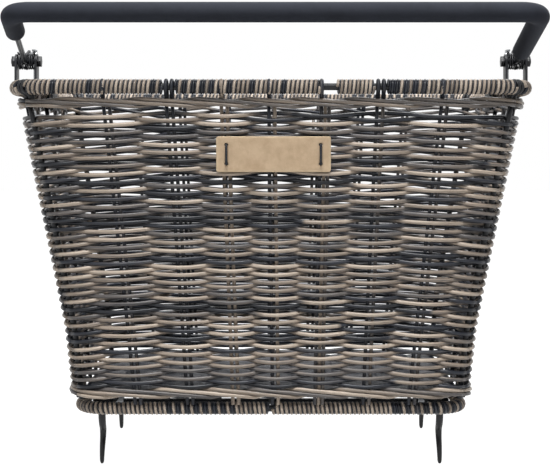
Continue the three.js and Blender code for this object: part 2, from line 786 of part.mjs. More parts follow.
// A torsion spring: a leg that bears on the fork, the coil, and a leg under the arm.
// direction is +1 for the spring outside the arm and -1 for the one inside it.
function springPoints(fromX, direction) {
  const steps = springTurns * springStepsPerTurn;
  const under = -armWidth / 2 - clearance - springWireDiameter / 2;
  const hookX = fromX - direction * springHookReach;
  const hook = vector(hookX, -springHookStart - springHookReach, under);
  const coil = [];
  for (let step = 0; step <= steps; step += 1) {
    const angle = -Math.PI / 2 + (step / steps) * springTurns * 2 * Math.PI;
    const x = fromX + direction * springPitch * springTurns * (step / steps);
    coil.push(vector(x, springCoilRadius * Math.cos(angle), springCoilRadius * Math.sin(angle)));
  }
  const end = coil[coil.length - 1];
  const tip = end.clone().add(vector(0, -springLegLength, 0));
  return [hook, vector(fromX, -springHookStart, under), ...coil, tip];
}

// The least distance between stretches of a path that are not neighbours
function leastSelfGap(points, diameter, skip) {
  let least = Infinity;
  for (let i = 0; i < points.length; i += 1) {
    for (let j = i + skip; j < points.length; j += 1) {
      least = Math.min(least, points[i].distanceTo(points[j]) - diameter);
    }
  }
  return least;
}

function buildSprings() {
  const inset = clearance + springWireDiameter / 2;
  const outer = springPoints(armOuterX + inset, 1);
  const inner = springPoints(armInnerX - inset, -1);
  for (const [place, points] of [['outer', outer], ['inner', inner]]) {
    const gap = leastSelfGap(points, springWireDiameter, springStepsPerTurn - 2);
    console.log(`${place} spring, least gap to itself: ${gap.toFixed(2)} mm`);
    bothSides(`${place}_spring`, rod(points, springWireDiameter, 5), blackSteel, handle);
  }
}

// A push rod: a fork that holds the crank pin, the rod down the outside of the wall and in
// under the rim, and a foot bar with two stirrups that hold the ends of the crank arms
function buildPushRods() {
  const rodY = crankRadius + crankPinDiameter / 2 + clearance + rodDiameter / 2;
  const pinZ = pivotHeight + crankRadius * Math.sin(crankAngle);
  const half = crankPinDiameter / 2;
  const slotTop = pinZ + half + forkSlackAbove;
  const slotBottom = pinZ - half - forkSlackBelow;
  const forkX = [rodTopX - forkThickness / 2, rodTopX + forkThickness / 2];
  const tipY = crankRadius * Math.cos(crankAngle) - forkTipReach;
  const backY = [rodY - rodDiameter / 2, rodY + rodDiameter / 2];
  const yokeX = [rodLowX - yokeWidth / 2, rodLowX + yokeWidth / 2];
  const yokeLow = shaftHeight + shaftDiameter / 2 + yokeGap;
  const yokeHigh = yokeLow + yokeThickness;
  const yokeHalf = shaftHalfSpacing - yokeLever;
  const footHeight = -rodDiameter / 2 - clearance - rodRise;
  const outsideWall = (height) => (
    wallHalfX(height) + wallThickness / 2 + rodWallGap + rodDiameter / 2);
  const route = [
    vector(rodTopX, rodY, slotBottom - forkPad / 2),
    vector(rodTopX, rodY, wallTop),
    vector(outsideWall(kneeHeight), rodY, kneeHeight),
    vector(outsideWall(wallBottom), rodY, wallBottom),
    vector(outsideWall(wallBottom), rodY, footHeight),
    vector(rodLowX, rodY, footHeight),
  ];
  const footZ = [footHeight - footBarThickness / 2, footHeight + footBarThickness / 2];
  const pieces = [
    box([forkX[0], tipY, slotTop], [forkX[1], backY[1], slotTop + forkPad]),
    box([forkX[0], tipY, slotBottom - forkPad], [forkX[1], backY[1], slotBottom]),
    box([forkX[0], backY[0], slotBottom - forkPad], [forkX[1], backY[1], slotTop + forkPad]),
    rod(roundedPath(route, rodBendRadius, 3), rodDiameter),
    box([yokeX[0] - stirrupThickness + stirrupLap, -yokeHalf, footZ[0]], [yokeX[1], yokeHalf, footZ[1]]),
  ];
  const wallX = [yokeX[0] - stirrupThickness + stirrupLap, yokeX[0] + stirrupLap];
  const padTop = shaftHeight - stirrupDrop;
  for (const end of [-1, 1]) {
    const y = [end * yokeHalf, end * (yokeHalf - stirrupWidth)].sort((a, b) => a - b);
    pieces.push(box([wallX[0], y[0], footZ[0]], [wallX[1], y[1], yokeHigh]));
    pieces.push(box([wallX[0], y[0], footZ[0]], [yokeX[1], y[1], padTop]));
    pieces.push(box([wallX[0], y[0], yokeLow], [yokeX[1], y[1], yokeHigh]));
  }
  bothSides('push_rod', joined(pieces), zincSteel);
}

function hookLeg(inward) {
  const route = [
    [0, -0.07], [0, -0.25], [0.35, -0.36], [0.97, -0.47], [0.93, -0.58], [0.4, -0.73], [0.05, -0.87], [0, -1],
  ];
  const points = route.map(([y, z]) => vector(0, inward * hookCatch * y, hookReach * z));
  return rod(new THREE.CatmullRomCurve3(points).getPoints(14), hookDiameter, 10);
}

function buildHooks() {
  for (const [name, sign] of [['front', -1], ['rear', 1]]) {
    const y = sign * shaftHalfSpacing;
    const armEnd = sign * (shaftHalfSpacing - crankArmLength);
    const route = [
      vector(-rodLowX, armEnd, shaftHeight),
      vector(-rodLowX, y, shaftHeight),
      vector(rodLowX, y, shaftHeight),
      vector(rodLowX, armEnd, shaftHeight),
    ];
    const shaft = rod(roundedPath(route, shaftBendRadius, 3), shaftDiameter, 10);
    addMesh(`${name}_hook_shaft`, shaft, blackSteel);
    const hubShape = circleShape(hookHubRadius, 14, shaftDiameter / 2 + clearance, 12);
    for (const [side, end] of [['left', -1], ['right', 1]]) {
      const from = end * (hookHalfSpacing - hookHubInset) - hookHubLength / 2;
      const hub = sweep(hubShape, [vector(from, 0, 0), vector(from + hookHubLength, 0, 0)]);
      const leg = hookLeg(-sign).translate(end * hookHalfSpacing, 0, 0);
      const hook = joined([hub, leg]).translate(0, y, shaftHeight);
      addMesh(`${name}_${side}_hook`, hook, blackSteel);
    }
    buildShaftClips(name, y);
  }
}

// Two clips that hang a shaft from the outer floor wires
function buildShaftClips(name, y) {
  const top = wireUnderside - clearance - shaftHeight;
  const shape = new THREE.Shape();
  shape.moveTo(clipRadius, top);
  shape.lineTo(-clipRadius, top);
  shape.absarc(0, 0, clipRadius, Math.PI, 2 * Math.PI);
  shape.holes.push(new THREE.Path(circlePoints(shaftDiameter / 2 + clearance, 12)));
  const place = floorWirePitch * (floorWireCount - 1) / 2;
  for (const [side, end] of [['left', -1], ['right', 1]]) {
    const from = end * place - clipLength / 2;
    const clip = barAlongX(shape, from, from + clipLength).translate(0, y, shaftHeight);
    addMesh(`${name}_${side}_clip`, clip, zincSteel);
  }
}

buildRims();
buildWalls();
buildFloor();
buildLabel();
buildHandle();
buildBrackets();
buildPivots();
buildSprings();
buildPushRods();
buildHooks();

export default basket;
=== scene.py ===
"""A woven bicycle basket with a foam-gripped handle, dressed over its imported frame."""

from __future__ import annotations

import json
import logging
import math
from dataclasses import dataclass, field
from enum import Enum
from typing import Any, Callable, Iterable, Sequence

import bmesh
import bpy
import numpy as np
from mathutils import Matrix, Vector


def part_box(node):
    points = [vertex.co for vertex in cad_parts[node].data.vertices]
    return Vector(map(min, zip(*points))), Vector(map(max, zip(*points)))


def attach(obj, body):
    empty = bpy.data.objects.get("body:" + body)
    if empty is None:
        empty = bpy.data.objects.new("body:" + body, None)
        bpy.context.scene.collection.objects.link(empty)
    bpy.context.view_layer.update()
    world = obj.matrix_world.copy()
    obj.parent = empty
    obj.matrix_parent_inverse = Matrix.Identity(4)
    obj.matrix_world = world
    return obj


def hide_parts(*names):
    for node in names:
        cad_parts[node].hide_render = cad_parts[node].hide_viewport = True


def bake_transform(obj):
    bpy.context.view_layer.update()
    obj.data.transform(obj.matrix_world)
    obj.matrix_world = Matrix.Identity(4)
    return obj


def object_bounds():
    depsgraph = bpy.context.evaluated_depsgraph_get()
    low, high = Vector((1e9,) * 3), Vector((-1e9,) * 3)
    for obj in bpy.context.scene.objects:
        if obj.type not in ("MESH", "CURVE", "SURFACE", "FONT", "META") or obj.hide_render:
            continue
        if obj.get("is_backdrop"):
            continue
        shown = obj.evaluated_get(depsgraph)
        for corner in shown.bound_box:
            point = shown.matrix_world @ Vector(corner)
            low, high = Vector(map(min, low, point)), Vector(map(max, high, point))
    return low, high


MM = 0.001
PHOTO_WIDTH = 550
SEED = 41
WHITE = (1.0, 1.0, 1.0, 1.0)

# How copies of frame nodes are merged, flattened, rounded and shaded smooth
WELD = 1e-6
FLAT_ANGLE = math.radians(1)
BEVEL_ANGLE = math.radians(35)
SMOOTH_ANGLE = math.radians(40)

# Where a strand's grain is read: shrunk along the strand, and shifted from one to the next
GRAIN_STRETCH = 0.02
GRAIN_SHIFT = 37.0

ToneRule = Callable[[np.ndarray], np.ndarray]
WeaveRule = Callable[[np.ndarray], tuple[np.ndarray, np.ndarray]]

log = logging.getLogger("basket")
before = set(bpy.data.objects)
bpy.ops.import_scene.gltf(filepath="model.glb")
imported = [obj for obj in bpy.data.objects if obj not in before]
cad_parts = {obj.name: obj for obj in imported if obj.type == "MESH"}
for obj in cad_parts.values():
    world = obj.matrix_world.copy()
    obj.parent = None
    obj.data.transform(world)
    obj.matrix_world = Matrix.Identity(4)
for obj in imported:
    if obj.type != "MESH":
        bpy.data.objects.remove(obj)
cad_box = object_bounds()


def linear(hex_colour: str) -> tuple[float, float, float, float]:
    """Turn an sRGB hex colour into linear values.

    Args:
        hex_colour: six hex digits, such as "8A7B66".

    Returns:
        Linear red, green, blue and an alpha of 1.
    """
    parts = [int(hex_colour[i:i + 2], 16) / 255 for i in (0, 2, 4)]
    values = [c / 12.92 if c <= 0.04045 else ((c + 0.055) / 1.055) ** 2.4 for c in parts]
    return values[0], values[1], values[2], 1.0


def add_node(tree: bpy.types.NodeTree, kind: str, inputs: dict[Any, Any] | None = None,
             **settings: Any) -> bpy.types.Node:
    """Add a shader node with its settings, values and links.

    Args:
        tree: the material's node tree.
        kind: the node's type name.
        inputs: a value or an output socket for each input, by name or number.
        settings: properties of the node itself.

    Returns:
        The new node.
    """
    node = tree.nodes.new(kind)
    for name, value in settings.items():
        setattr(node, name, value)
    for name, value in (inputs or {}).items():
        if isinstance(value, bpy.types.NodeSocket):
            tree.links.new(value, node.inputs[name])
        else:
            node.inputs[name].default_value = value
    return node


def empty_tree(holder: bpy.types.Material | bpy.types.World) -> bpy.types.NodeTree:
    """Give a material or a world an empty node tree.

    Args:
        holder: the material or the world.

    Returns:
        Its node tree.
    """
    holder.use_nodes = True
    holder.node_tree.nodes.clear()
    return holder.node_tree


def set_ramp(node: bpy.types.Node, stops: Sequence[tuple[float, str]]) -> None:
    """Give a colour ramp its stops, each a place and an sRGB hex colour.

    Args:
        node: the ramp.
        stops: the place and the colour of each stop, in order.
    """
    elements = node.color_ramp.elements
    while len(elements) < len(stops):
        elements.new(0.5)
    for element, (place, colour) in zip(elements, stops):
        element.position = place
        element.color = linear(colour)


class Tone(Enum):
    """How light a stretch of cane is dyed, from near black to straw."""

    BLACK = 0.04
    CHARCOAL = 0.22
    GREY = 0.48
    TAUPE = 0.72
    STRAW = 0.92


@dataclass(frozen=True)
class Finish:
    """A finish that builds its material once and hands it out."""

    name: str
    slot: str

    def material(self) -> bpy.types.Material:
        """Return the material, building it on first use.

        Returns:
            The material of this finish.
        """
        known = bpy.data.materials.get(self.name)
        if known:
            return known
        made = bpy.data.materials.new(self.name)
        tree = empty_tree(made)
        surface = self.surface(tree)
        add_node(tree, "ShaderNodeOutputMaterial", {"Surface": surface.outputs[0]})
        return made

    def surface(self, tree: bpy.types.NodeTree) -> bpy.types.Node:
        """Build the shader that the material shows.

        Args:
            tree: the material's empty node tree.

        Returns:
            The shader node to show.
        """
        raise NotImplementedError


@dataclass(frozen=True)
class CaneFinish(Finish):
    """Extruded polyethylene cane, dyed in streaks, with a satin skin.

    The dye changes along a strand, so the colour reads the strand's own tone, which in the walls
    and the floor also carries painted shade, and fine streaks run along it as they leave the die.
    """

    roughness: float = 0.3
    index: float = 1.4
    streak_per_mm: float = 1.6
    streak_shade: float = 0.17
    ramp: tuple[tuple[float, str], ...] = (
        (0.0, "10131A"), (0.25, "252933"), (0.5, "67625F"), (0.75, "97897B"), (1.0, "C4B5A5"),
    )

    def surface(self, tree: bpy.types.NodeTree) -> bpy.types.Node:
        """Mix the tone with streaks and give the skin a fine grain.

        Args:
            tree: the material's empty node tree.

        Returns:
            The shader node to show.
        """
        tone = add_node(tree, "ShaderNodeAttribute", attribute_name="tone")
        place = add_node(tree, "ShaderNodeAttribute", attribute_name="cane")
        streak = add_node(tree, "ShaderNodeTexNoise",
                          {"Vector": place.outputs["Vector"], "Scale": self.streak_per_mm,
                           "Detail": 3.0, "Roughness": 0.6})
        shift = add_node(tree, "ShaderNodeMapRange",
                         {"Value": streak.outputs["Fac"], "From Min": 0.3, "From Max": 0.7,
                          "To Min": -self.streak_shade, "To Max": self.streak_shade})
        sum_tone = add_node(tree, "ShaderNodeMath",
                            {0: tone.outputs["Fac"], 1: shift.outputs["Result"]},
                            operation="ADD", use_clamp=True)
        ramp = add_node(tree, "ShaderNodeValToRGB", {"Fac": sum_tone.outputs[0]})
        set_ramp(ramp, self.ramp)
        bump = add_node(tree, "ShaderNodeBump",
                        {"Height": streak.outputs["Fac"], "Strength": 0.25, "Distance": 0.0002})
        rough = add_node(tree, "ShaderNodeMapRange",
                         {"Value": streak.outputs["Fac"], "From Min": 0.3, "From Max": 0.7,
                          "To Min": self.roughness - 0.06, "To Max": self.roughness + 0.1})
        return add_node(tree, "ShaderNodeBsdfPrincipled",
                        {"Base Color": ramp.outputs["Color"], "Roughness": rough.outputs["Result"],
                         "IOR": self.index, "Normal": bump.outputs["Normal"]})


@dataclass(frozen=True)
class CoatedSteelFinish(Finish):
    """Steel with a black powder coat: near black, satin, with a faint orange peel."""

    colour: str = "0D0E11"
    worn: str = "1F2126"
    roughness: float = 0.42
    index: float = 1.4
    peel_per_m: float = 900.0
    mottle_per_m: float = 60.0

    def surface(self, tree: bpy.types.NodeTree) -> bpy.types.Node:
        """Lay a mottled coat with an orange-peel bump.

        Args:
            tree: the material's empty node tree.

        Returns:
            The shader node to show.
        """
        place = add_node(tree, "ShaderNodeTexCoord")
        peel = add_node(tree, "ShaderNodeTexNoise",
                        {"Vector": place.outputs["Object"], "Scale": self.peel_per_m,
                         "Detail": 2.0})
        mottle = add_node(tree, "ShaderNodeTexNoise",
                          {"Vector": place.outputs["Object"], "Scale": self.mottle_per_m,
                           "Detail": 4.0})
        ramp = add_node(tree, "ShaderNodeValToRGB", {"Fac": mottle.outputs["Fac"]})
        set_ramp(ramp, ((0.35, self.colour), (0.75, self.worn)))
        bump = add_node(tree, "ShaderNodeBump",
                        {"Height": peel.outputs["Fac"], "Strength": 0.3, "Distance": 0.0002})
        return add_node(tree, "ShaderNodeBsdfPrincipled",
                        {"Base Color": ramp.outputs["Color"], "Roughness": self.roughness,
                         "IOR": self.index, "Normal": bump.outputs["Normal"]})


@dataclass(frozen=True)
class ZincFinish(Finish):
    """Zinc-plated steel: a grey metal with cloudy brightness and fine draw marks."""

    dull: str = "6F7275"
    bright: str = "A9ABAD"
    cloud_per_m: float = 260.0

    def surface(self, tree: bpy.types.NodeTree) -> bpy.types.Node:
        """Cloud the plating's colour and its roughness together.

        Args:
            tree: the material's empty node tree.

        Returns:
            The shader node to show.
        """
        place = add_node(tree, "ShaderNodeTexCoord")
        cloud = add_node(tree, "ShaderNodeTexNoise",
                         {"Vector": place.outputs["Object"], "Scale": self.cloud_per_m,
                          "Detail": 5.0, "Roughness": 0.65})
        ramp = add_node(tree, "ShaderNodeValToRGB", {"Fac": cloud.outputs["Fac"]})
        set_ramp(ramp, ((0.3, self.dull), (0.7, self.bright)))
        rough = add_node(tree, "ShaderNodeMapRange",
                         {"Value": cloud.outputs["Fac"], "From Min": 0.3, "From Max": 0.7,
                          "To Min": 0.5, "To Max": 0.28})
        return add_node(tree, "ShaderNodeBsdfPrincipled",
                        {"Base Color": ramp.outputs["Color"], "Metallic": 1.0,
                         "Roughness": rough.outputs["Result"]})


@dataclass(frozen=True)
class FoamFinish(Finish):
    """Closed-cell rubber foam: charcoal, matt, with pores about 0.4 mm wide.

    The pores are drawn at 0.6 mm so that they show.
    """

    colour: str = "2C2F37"
    # Painted shade for the pits
    pit_shade: str = "1D1F25"
    pore_mm: float = 0.6
    blotch_per_m: float = 45.0

    def surface(self, tree: bpy.types.NodeTree) -> bpy.types.Node:
        """Pit the skin with pores, darken the pits with painted shade, and let long rub marks lighten
        it.

        Args:
            tree: the material's empty node tree.

        Returns:
            The shader node to show.
        """
        place = add_node(tree, "ShaderNodeTexCoord")
        pores = add_node(tree, "ShaderNodeTexVoronoi",
                         {"Vector": place.outputs["Object"], "Scale": 1 / (self.pore_mm * MM)})
        blotch = add_node(tree, "ShaderNodeTexNoise",
                          {"Vector": place.outputs["Object"], "Scale": self.blotch_per_m,
                           "Detail": 5.0})
        depth = add_node(tree, "ShaderNodeMapRange",
                         {"Value": pores.outputs["Distance"], "From Min": 0.05, "From Max": 0.45})
        mixed = add_node(tree, "ShaderNodeMath",
                         {0: depth.outputs["Result"], 1: blotch.outputs["Fac"]},
                         operation="MULTIPLY")
        ramp = add_node(tree, "ShaderNodeValToRGB", {"Fac": mixed.outputs[0]})
        # Painted shade: the pits are coloured darker than the skin
        set_ramp(ramp, ((0.0, self.pit_shade), (0.5, self.colour)))
        bump = add_node(tree, "ShaderNodeBump",
                        {"Height": depth.outputs["Result"], "Strength": 0.35,
                         "Distance": 0.0003})
        return add_node(tree, "ShaderNodeBsdfPrincipled",
                        {"Base Color": ramp.outputs["Color"], "Roughness": 0.85,
                         "IOR": 1.3, "Normal": bump.outputs["Normal"]})


@dataclass(frozen=True)
class LeatherFinish(Finish):
    """Vegetable-tanned hide: tan, with pores, cloudy dye and a pale cut edge.

    The pores are drawn at 0.7 mm so that they show.
    """

    face: str = "D4BA9A"
    shade: str = "C0A484"
    edge: str = "D9C3A2"
    pore_mm: float = 0.7
    cloud_per_m: float = 110.0

    def surface(self, tree: bpy.types.NodeTree) -> bpy.types.Node:
        """Blend face and edge colours and press in the grain.

        Args:
            tree: the material's empty node tree.

        Returns:
            The shader node to show.
        """
        place = add_node(tree, "ShaderNodeTexCoord")
        cloud = add_node(tree, "ShaderNodeTexNoise",
                         {"Vector": place.outputs["Object"], "Scale": self.cloud_per_m,
                          "Detail": 6.0, "Roughness": 0.6})
        ramp = add_node(tree, "ShaderNodeValToRGB", {"Fac": cloud.outputs["Fac"]})
        set_ramp(ramp, ((0.3, self.shade), (0.62, self.face)))
        rim = add_node(tree, "ShaderNodeAttribute", attribute_name="edge")
        colour = add_node(tree, "ShaderNodeMix",
                          {"Factor": rim.outputs["Fac"], "A": ramp.outputs["Color"],
                           "B": linear(self.edge)}, data_type="RGBA")
        grain = add_node(tree, "ShaderNodeTexVoronoi",
                         {"Vector": place.outputs["Object"], "Scale": 1 / (self.pore_mm * MM)})
        bump = add_node(tree, "ShaderNodeBump",
                        {"Height": grain.outputs["Distance"], "Strength": 0.3,
                         "Distance": 0.0002})
        return add_node(tree, "ShaderNodeBsdfPrincipled",
                        {"Base Color": colour.outputs["Result"], "Roughness": 0.6,
                         "IOR": 1.45, "Normal": bump.outputs["Normal"]})


CANE = CaneFinish("extruded_polyethylene_cane", "wicker")
STAKE_CANE = CaneFinish("extruded_stake_cane", "stakes", roughness=0.42)
COATED = CoatedSteelFinish("powder_coated_steel", "black_steel")
ZINC = ZincFinish("zinc_plated_steel", "zinc_steel")
FOAM = FoamFinish("closed_cell_foam", "foam")
LEATHER = LeatherFinish("vegetable_tanned_leather", "leather")
TIE_CANE = CaneFinish("glossy_tie_cane", "tie", roughness=0.2)


@dataclass
class Strand:
    """A round strand along a path, with its dye, any painted shade and its grain.

    Args:
        path: the middle of the strand at each station, in metres.
        radius: the strand's radius, in metres.
        tone: how light it is dyed, with any painted shade, for each station or for all.
        outward: a direction near the section's first corner at each station.
        sides: corners of the section.
        thickness: the section's depth along outward, as a share of its width.
    """

    path: np.ndarray
    radius: float | np.ndarray
    tone: float | np.ndarray = 0.5
    outward: np.ndarray | None = None
    sides: int = 8
    thickness: float = 1.0


def mesh_from(name: str, bm: bmesh.types.BMesh) -> bpy.types.Mesh:
    """Turn a finished bmesh into a named mesh, and free it.

    Args:
        name: the mesh's name.
        bm: the bmesh, which is of no more use.

    Returns:
        The new mesh.
    """
    mesh = bpy.data.meshes.new(name)
    bm.to_mesh(mesh)
    bm.free()
    return mesh


_templates: dict[tuple[int, int], bpy.types.Mesh] = {}


def straight_tube(stations: int, sides: int) -> bpy.types.Mesh:
    """Roll a grid into a capped tube along Z, with a ring at each whole height.

    Args:
        stations: the number of rings.
        sides: corners in a ring.

    Returns:
        A mesh that is kept and used again for the same counts.
    """
    key = (stations, sides)
    if key not in _templates:
        bm = bmesh.new()
        bmesh.ops.create_grid(bm, x_segments=sides, y_segments=stations - 1, size=1.0)
        for vert in bm.verts:
            turn = math.pi * (vert.co.x + 1)
            height = (vert.co.y + 1) / 2 * (stations - 1)
            vert.co = (math.cos(turn), math.sin(turn), height)
        bmesh.ops.remove_doubles(bm, verts=bm.verts[:], dist=1e-3)
        ends = [edge for edge in bm.edges if edge.is_boundary]
        bmesh.ops.holes_fill(bm, edges=ends, sides=0)
        bmesh.ops.recalc_face_normals(bm, faces=bm.faces[:])
        for face in bm.faces:
            face.smooth = abs(face.normal.z) < 0.5
        _templates[key] = mesh_from(f"tube_{stations}_{sides}", bm)
    return _templates[key]


def unit(rows: np.ndarray) -> np.ndarray:
    """Scale each row of an array to length 1."""
    return rows / np.maximum(np.linalg.norm(rows, axis=-1, keepdims=True), 1e-12)


def run_length(path: np.ndarray) -> np.ndarray:
    """Return how far along a path each of its stations is."""
    steps = np.linalg.norm(np.diff(path, axis=0), axis=1)
    return np.concatenate([[0.0], np.cumsum(steps)])


def steady_normals(tangents: np.ndarray) -> np.ndarray:
    """Carry one side direction along a path without twist.

    Args:
        tangents: the path's unit direction at each station.

    Returns:
        A unit direction at right angles to each of them.
    """
    first = Vector(tangents[0])
    side = first.orthogonal().normalized()
    normals = [side]
    for before, after in zip(tangents[:-1], tangents[1:]):
        turn = Vector(before).rotation_difference(Vector(after))
        side = (turn @ side).normalized()
        normals.append(side)
    return np.array(normals)


def strand_points(strand: Strand, rings: np.ndarray, corners: np.ndarray
                  ) -> tuple[np.ndarray, np.ndarray, np.ndarray]:
    """Place a tube's vertices along a strand.

    Args:
        strand: the strand to follow.
        rings: the station of each vertex.
        corners: the angle of each vertex round the section.

    Returns:
        Positions, tones and grain places, one row for each vertex.
    """
    path = np.asarray(strand.path, dtype=float)
    tangents = unit(np.gradient(path, axis=0))
    if strand.outward is None:
        side = steady_normals(tangents)
    else:
        out = strand.outward
        side = unit(out - tangents * np.sum(out * tangents, axis=1, keepdims=True))
    across = np.cross(tangents, side)
    radius = np.broadcast_to(strand.radius, len(path))[rings][:, None]
    cos = np.cos(corners)[:, None]
    sin = np.sin(corners)[:, None]
    places = path[rings] + radius * (strand.thickness * cos * side[rings] + sin * across[rings])
    along = GRAIN_STRETCH * run_length(path) / MM + GRAIN_SHIFT * path[0].sum() / MM
    grain = np.stack([along[rings], np.cos(corners), np.sin(corners)], axis=1)
    tones = np.broadcast_to(strand.tone, len(path))[rings]
    return places, tones, grain


def finish_piece(piece: bpy.types.Object, finish: Finish, replaced: str) -> None:
    """Give a piece its material, hide the frame's node that it stands for, and log both names.

    Args:
        piece: the new object.
        finish: its finish.
        replaced: the frame's node that it stands for.
    """
    piece.data.materials.clear()
    piece.data.materials.append(finish.material())
    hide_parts(replaced)
    log.info("%s: %d faces for %s", piece.name, len(piece.data.polygons), replaced)


def dress(piece: bpy.types.Object, body: str, finish: Finish, replaced: str) -> None:
    """Put a piece on its body and finish it.

    Args:
        piece: the new object.
        body: the frame's body that it rides on.
        finish: its finish.
        replaced: the frame's node that it stands for.
    """
    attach(piece, body)
    finish_piece(piece, finish, replaced)


def new_object(name: str, data: bpy.types.ID) -> bpy.types.Object:
    """Put a mesh, a light or a camera into the scene under a name.

    Args:
        name: the object's name.
        data: the mesh, the light or the camera.

    Returns:
        The new object.
    """
    thing = bpy.data.objects.new(name, data)
    bpy.context.scene.collection.objects.link(thing)
    return thing


def strands(name: str, parts: Sequence[Strand]) -> bpy.types.Object:
    """Join any number of strands into one piece.

    Args:
        name: the piece's name.
        parts: its strands.

    Returns:
        The piece, with tone and cane attributes on its vertices.
    """
    bm = bmesh.new()
    blocks = []
    for part in parts:
        mesh = straight_tube(len(part.path), part.sides)
        corner = np.empty(len(mesh.vertices) * 3)
        mesh.vertices.foreach_get("co", corner)
        corner = corner.reshape(-1, 3)
        rings = np.rint(corner[:, 2]).astype(int)
        angles = np.arctan2(corner[:, 1], corner[:, 0])
        blocks.append(strand_points(part, rings, angles))
        bm.from_mesh(mesh)
    mesh = mesh_from(name, bm)
    places, tones, grain = (np.concatenate(group) for group in zip(*blocks))
    mesh.vertices.foreach_set("co", places.ravel())
    mesh.attributes.new("tone", "FLOAT", "POINT").data.foreach_set("value", tones.ravel())
    mesh.attributes.new("cane", "FLOAT_VECTOR", "POINT").data.foreach_set("vector", grain.ravel())
    mesh.update()
    return new_object(name, mesh)


def smooth_path(points: Sequence[Sequence[float]], steps: int) -> np.ndarray:
    """Run a smooth curve through some points.

    Args:
        points: the points in metres.
        steps: stations from each point to the next.

    Returns:
        The stations, the first and last points included.
    """
    given = [np.array(point, dtype=float) for point in points]
    padded = [2 * given[0] - given[1], *given, 2 * given[-1] - given[-2]]
    stations = []
    for before, start, end, after in zip(padded, padded[1:], padded[2:], padded[3:]):
        knots = [0.0]
        for a, b in ((before, start), (start, end), (end, after)):
            knots.append(knots[-1] + max(np.linalg.norm(b - a), 1e-9) ** 0.5)
        slope_start = ((start - before) / knots[1] - (end - before) / knots[2]
                       + (end - start) / (knots[2] - knots[1])) * (knots[2] - knots[1])
        slope_end = ((end - start) / (knots[2] - knots[1]) - (after - start) / (knots[3] - knots[1])
                     + (after - end) / (knots[3] - knots[2])) * (knots[2] - knots[1])
        for step in range(steps):
            t = step / steps
            stations.append(start * (2 * t**3 - 3 * t**2 + 1) + slope_start * (t**3 - 2 * t**2 + t)
                            + end * (3 * t**2 - 2 * t**3) + slope_end * (t**3 - t**2))
    stations.append(given[-1])
    return np.array(stations)


def bent_path(corners: Sequence[Sequence[float]], radius: float, steps: int) -> np.ndarray:
    """Round the inner corners of a path with true arcs.

    Args:
        corners: the path's corners in metres.
        radius: the bend radius, in metres.
        steps: stations in each bend.

    Returns:
        The stations of the bent path.
    """
    points = [Vector(corner) for corner in corners]
    stations = [points[0]]
    for before, corner, after in zip(points, points[1:], points[2:]):
        back = (before - corner).normalized()
        ahead = (after - corner).normalized()
        half = back.angle(ahead) / 2
        centre = corner + (back + ahead).normalized() * radius / math.sin(half)
        start = corner + back * radius / math.tan(half) - centre
        axis = start.cross(corner - centre).normalized()
        sweep = math.pi - 2 * half
        for step in range(steps + 1):
            stations.append(centre + Matrix.Rotation(sweep * step / steps, 3, axis) @ start)
    stations.append(points[-1])
    return np.array([list(point) for point in stations])


def welded(node: str) -> bmesh.types.BMesh:
    """Copy a frame node and merge its loose triangles into flat faces.

    Args:
        node: the frame node's name.

    Returns:
        A bmesh of the copy.
    """
    bm = bmesh.new()
    bm.from_mesh(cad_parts[node].data)
    bmesh.ops.remove_doubles(bm, verts=bm.verts[:], dist=WELD)
    bmesh.ops.dissolve_limit(bm, angle_limit=FLAT_ANGLE, verts=bm.verts[:], edges=bm.edges[:])
    return bm


def round_edges(bm: bmesh.types.BMesh, angle: float, amount: float, segments: int) -> None:
    """Round the edges that are sharper than an angle.

    Args:
        bm: the closed mesh to change.
        angle: the angle between two faces past which their edge is rounded.
        amount: how far the edges are rounded, in metres.
        segments: steps across each rounded edge.
    """
    sharp = [edge for edge in bm.edges if edge.is_manifold and edge.calc_face_angle(0) > angle]
    bmesh.ops.bevel(bm, geom=sharp, offset=amount, affect="EDGES", segments=segments,
                    profile=0.5, material=-1, clamp_overlap=True)


def refit(name: str, node: str, body: str, finish: Finish, bevel: float,
          segments: int = 2) -> None:
    """Copy a frame node, merge its loose triangles, round its edges and dress it.

    Args:
        name: the new piece's name.
        node: the frame's node that it copies and stands for.
        body: the frame's body that it rides on.
        finish: its finish.
        bevel: how far the edges are rounded, in metres.
        segments: steps across each rounded edge.
    """
    bm = welded(node)
    round_edges(bm, BEVEL_ANGLE, bevel, segments)
    for face in bm.faces:
        face.smooth = True
    for edge in bm.edges:
        edge.smooth = not edge.is_manifold or edge.calc_face_angle(0) < SMOOTH_ANGLE
    dress(new_object(name, mesh_from(name, bm)), body, finish, node)


class Wall(Enum):
    """The four walls: their length direction and their outward direction."""

    FRONT = ((1.0, 0.0, 0.0), (0.0, -1.0, 0.0))
    RIGHT = ((0.0, 1.0, 0.0), (1.0, 0.0, 0.0))
    REAR = ((-1.0, 0.0, 0.0), (0.0, 1.0, 0.0))
    LEFT = ((0.0, -1.0, 0.0), (-1.0, 0.0, 0.0))

    @property
    def along(self) -> np.ndarray:
        """Return the wall's length direction."""
        return np.array(self.value[0])

    @property
    def out(self) -> np.ndarray:
        """Return the wall's outward direction."""
        return np.array(self.value[1])

    @property
    def is_long(self) -> bool:
        """Tell whether this is one of the two long walls."""
        return self in (Wall.FRONT, Wall.REAR)


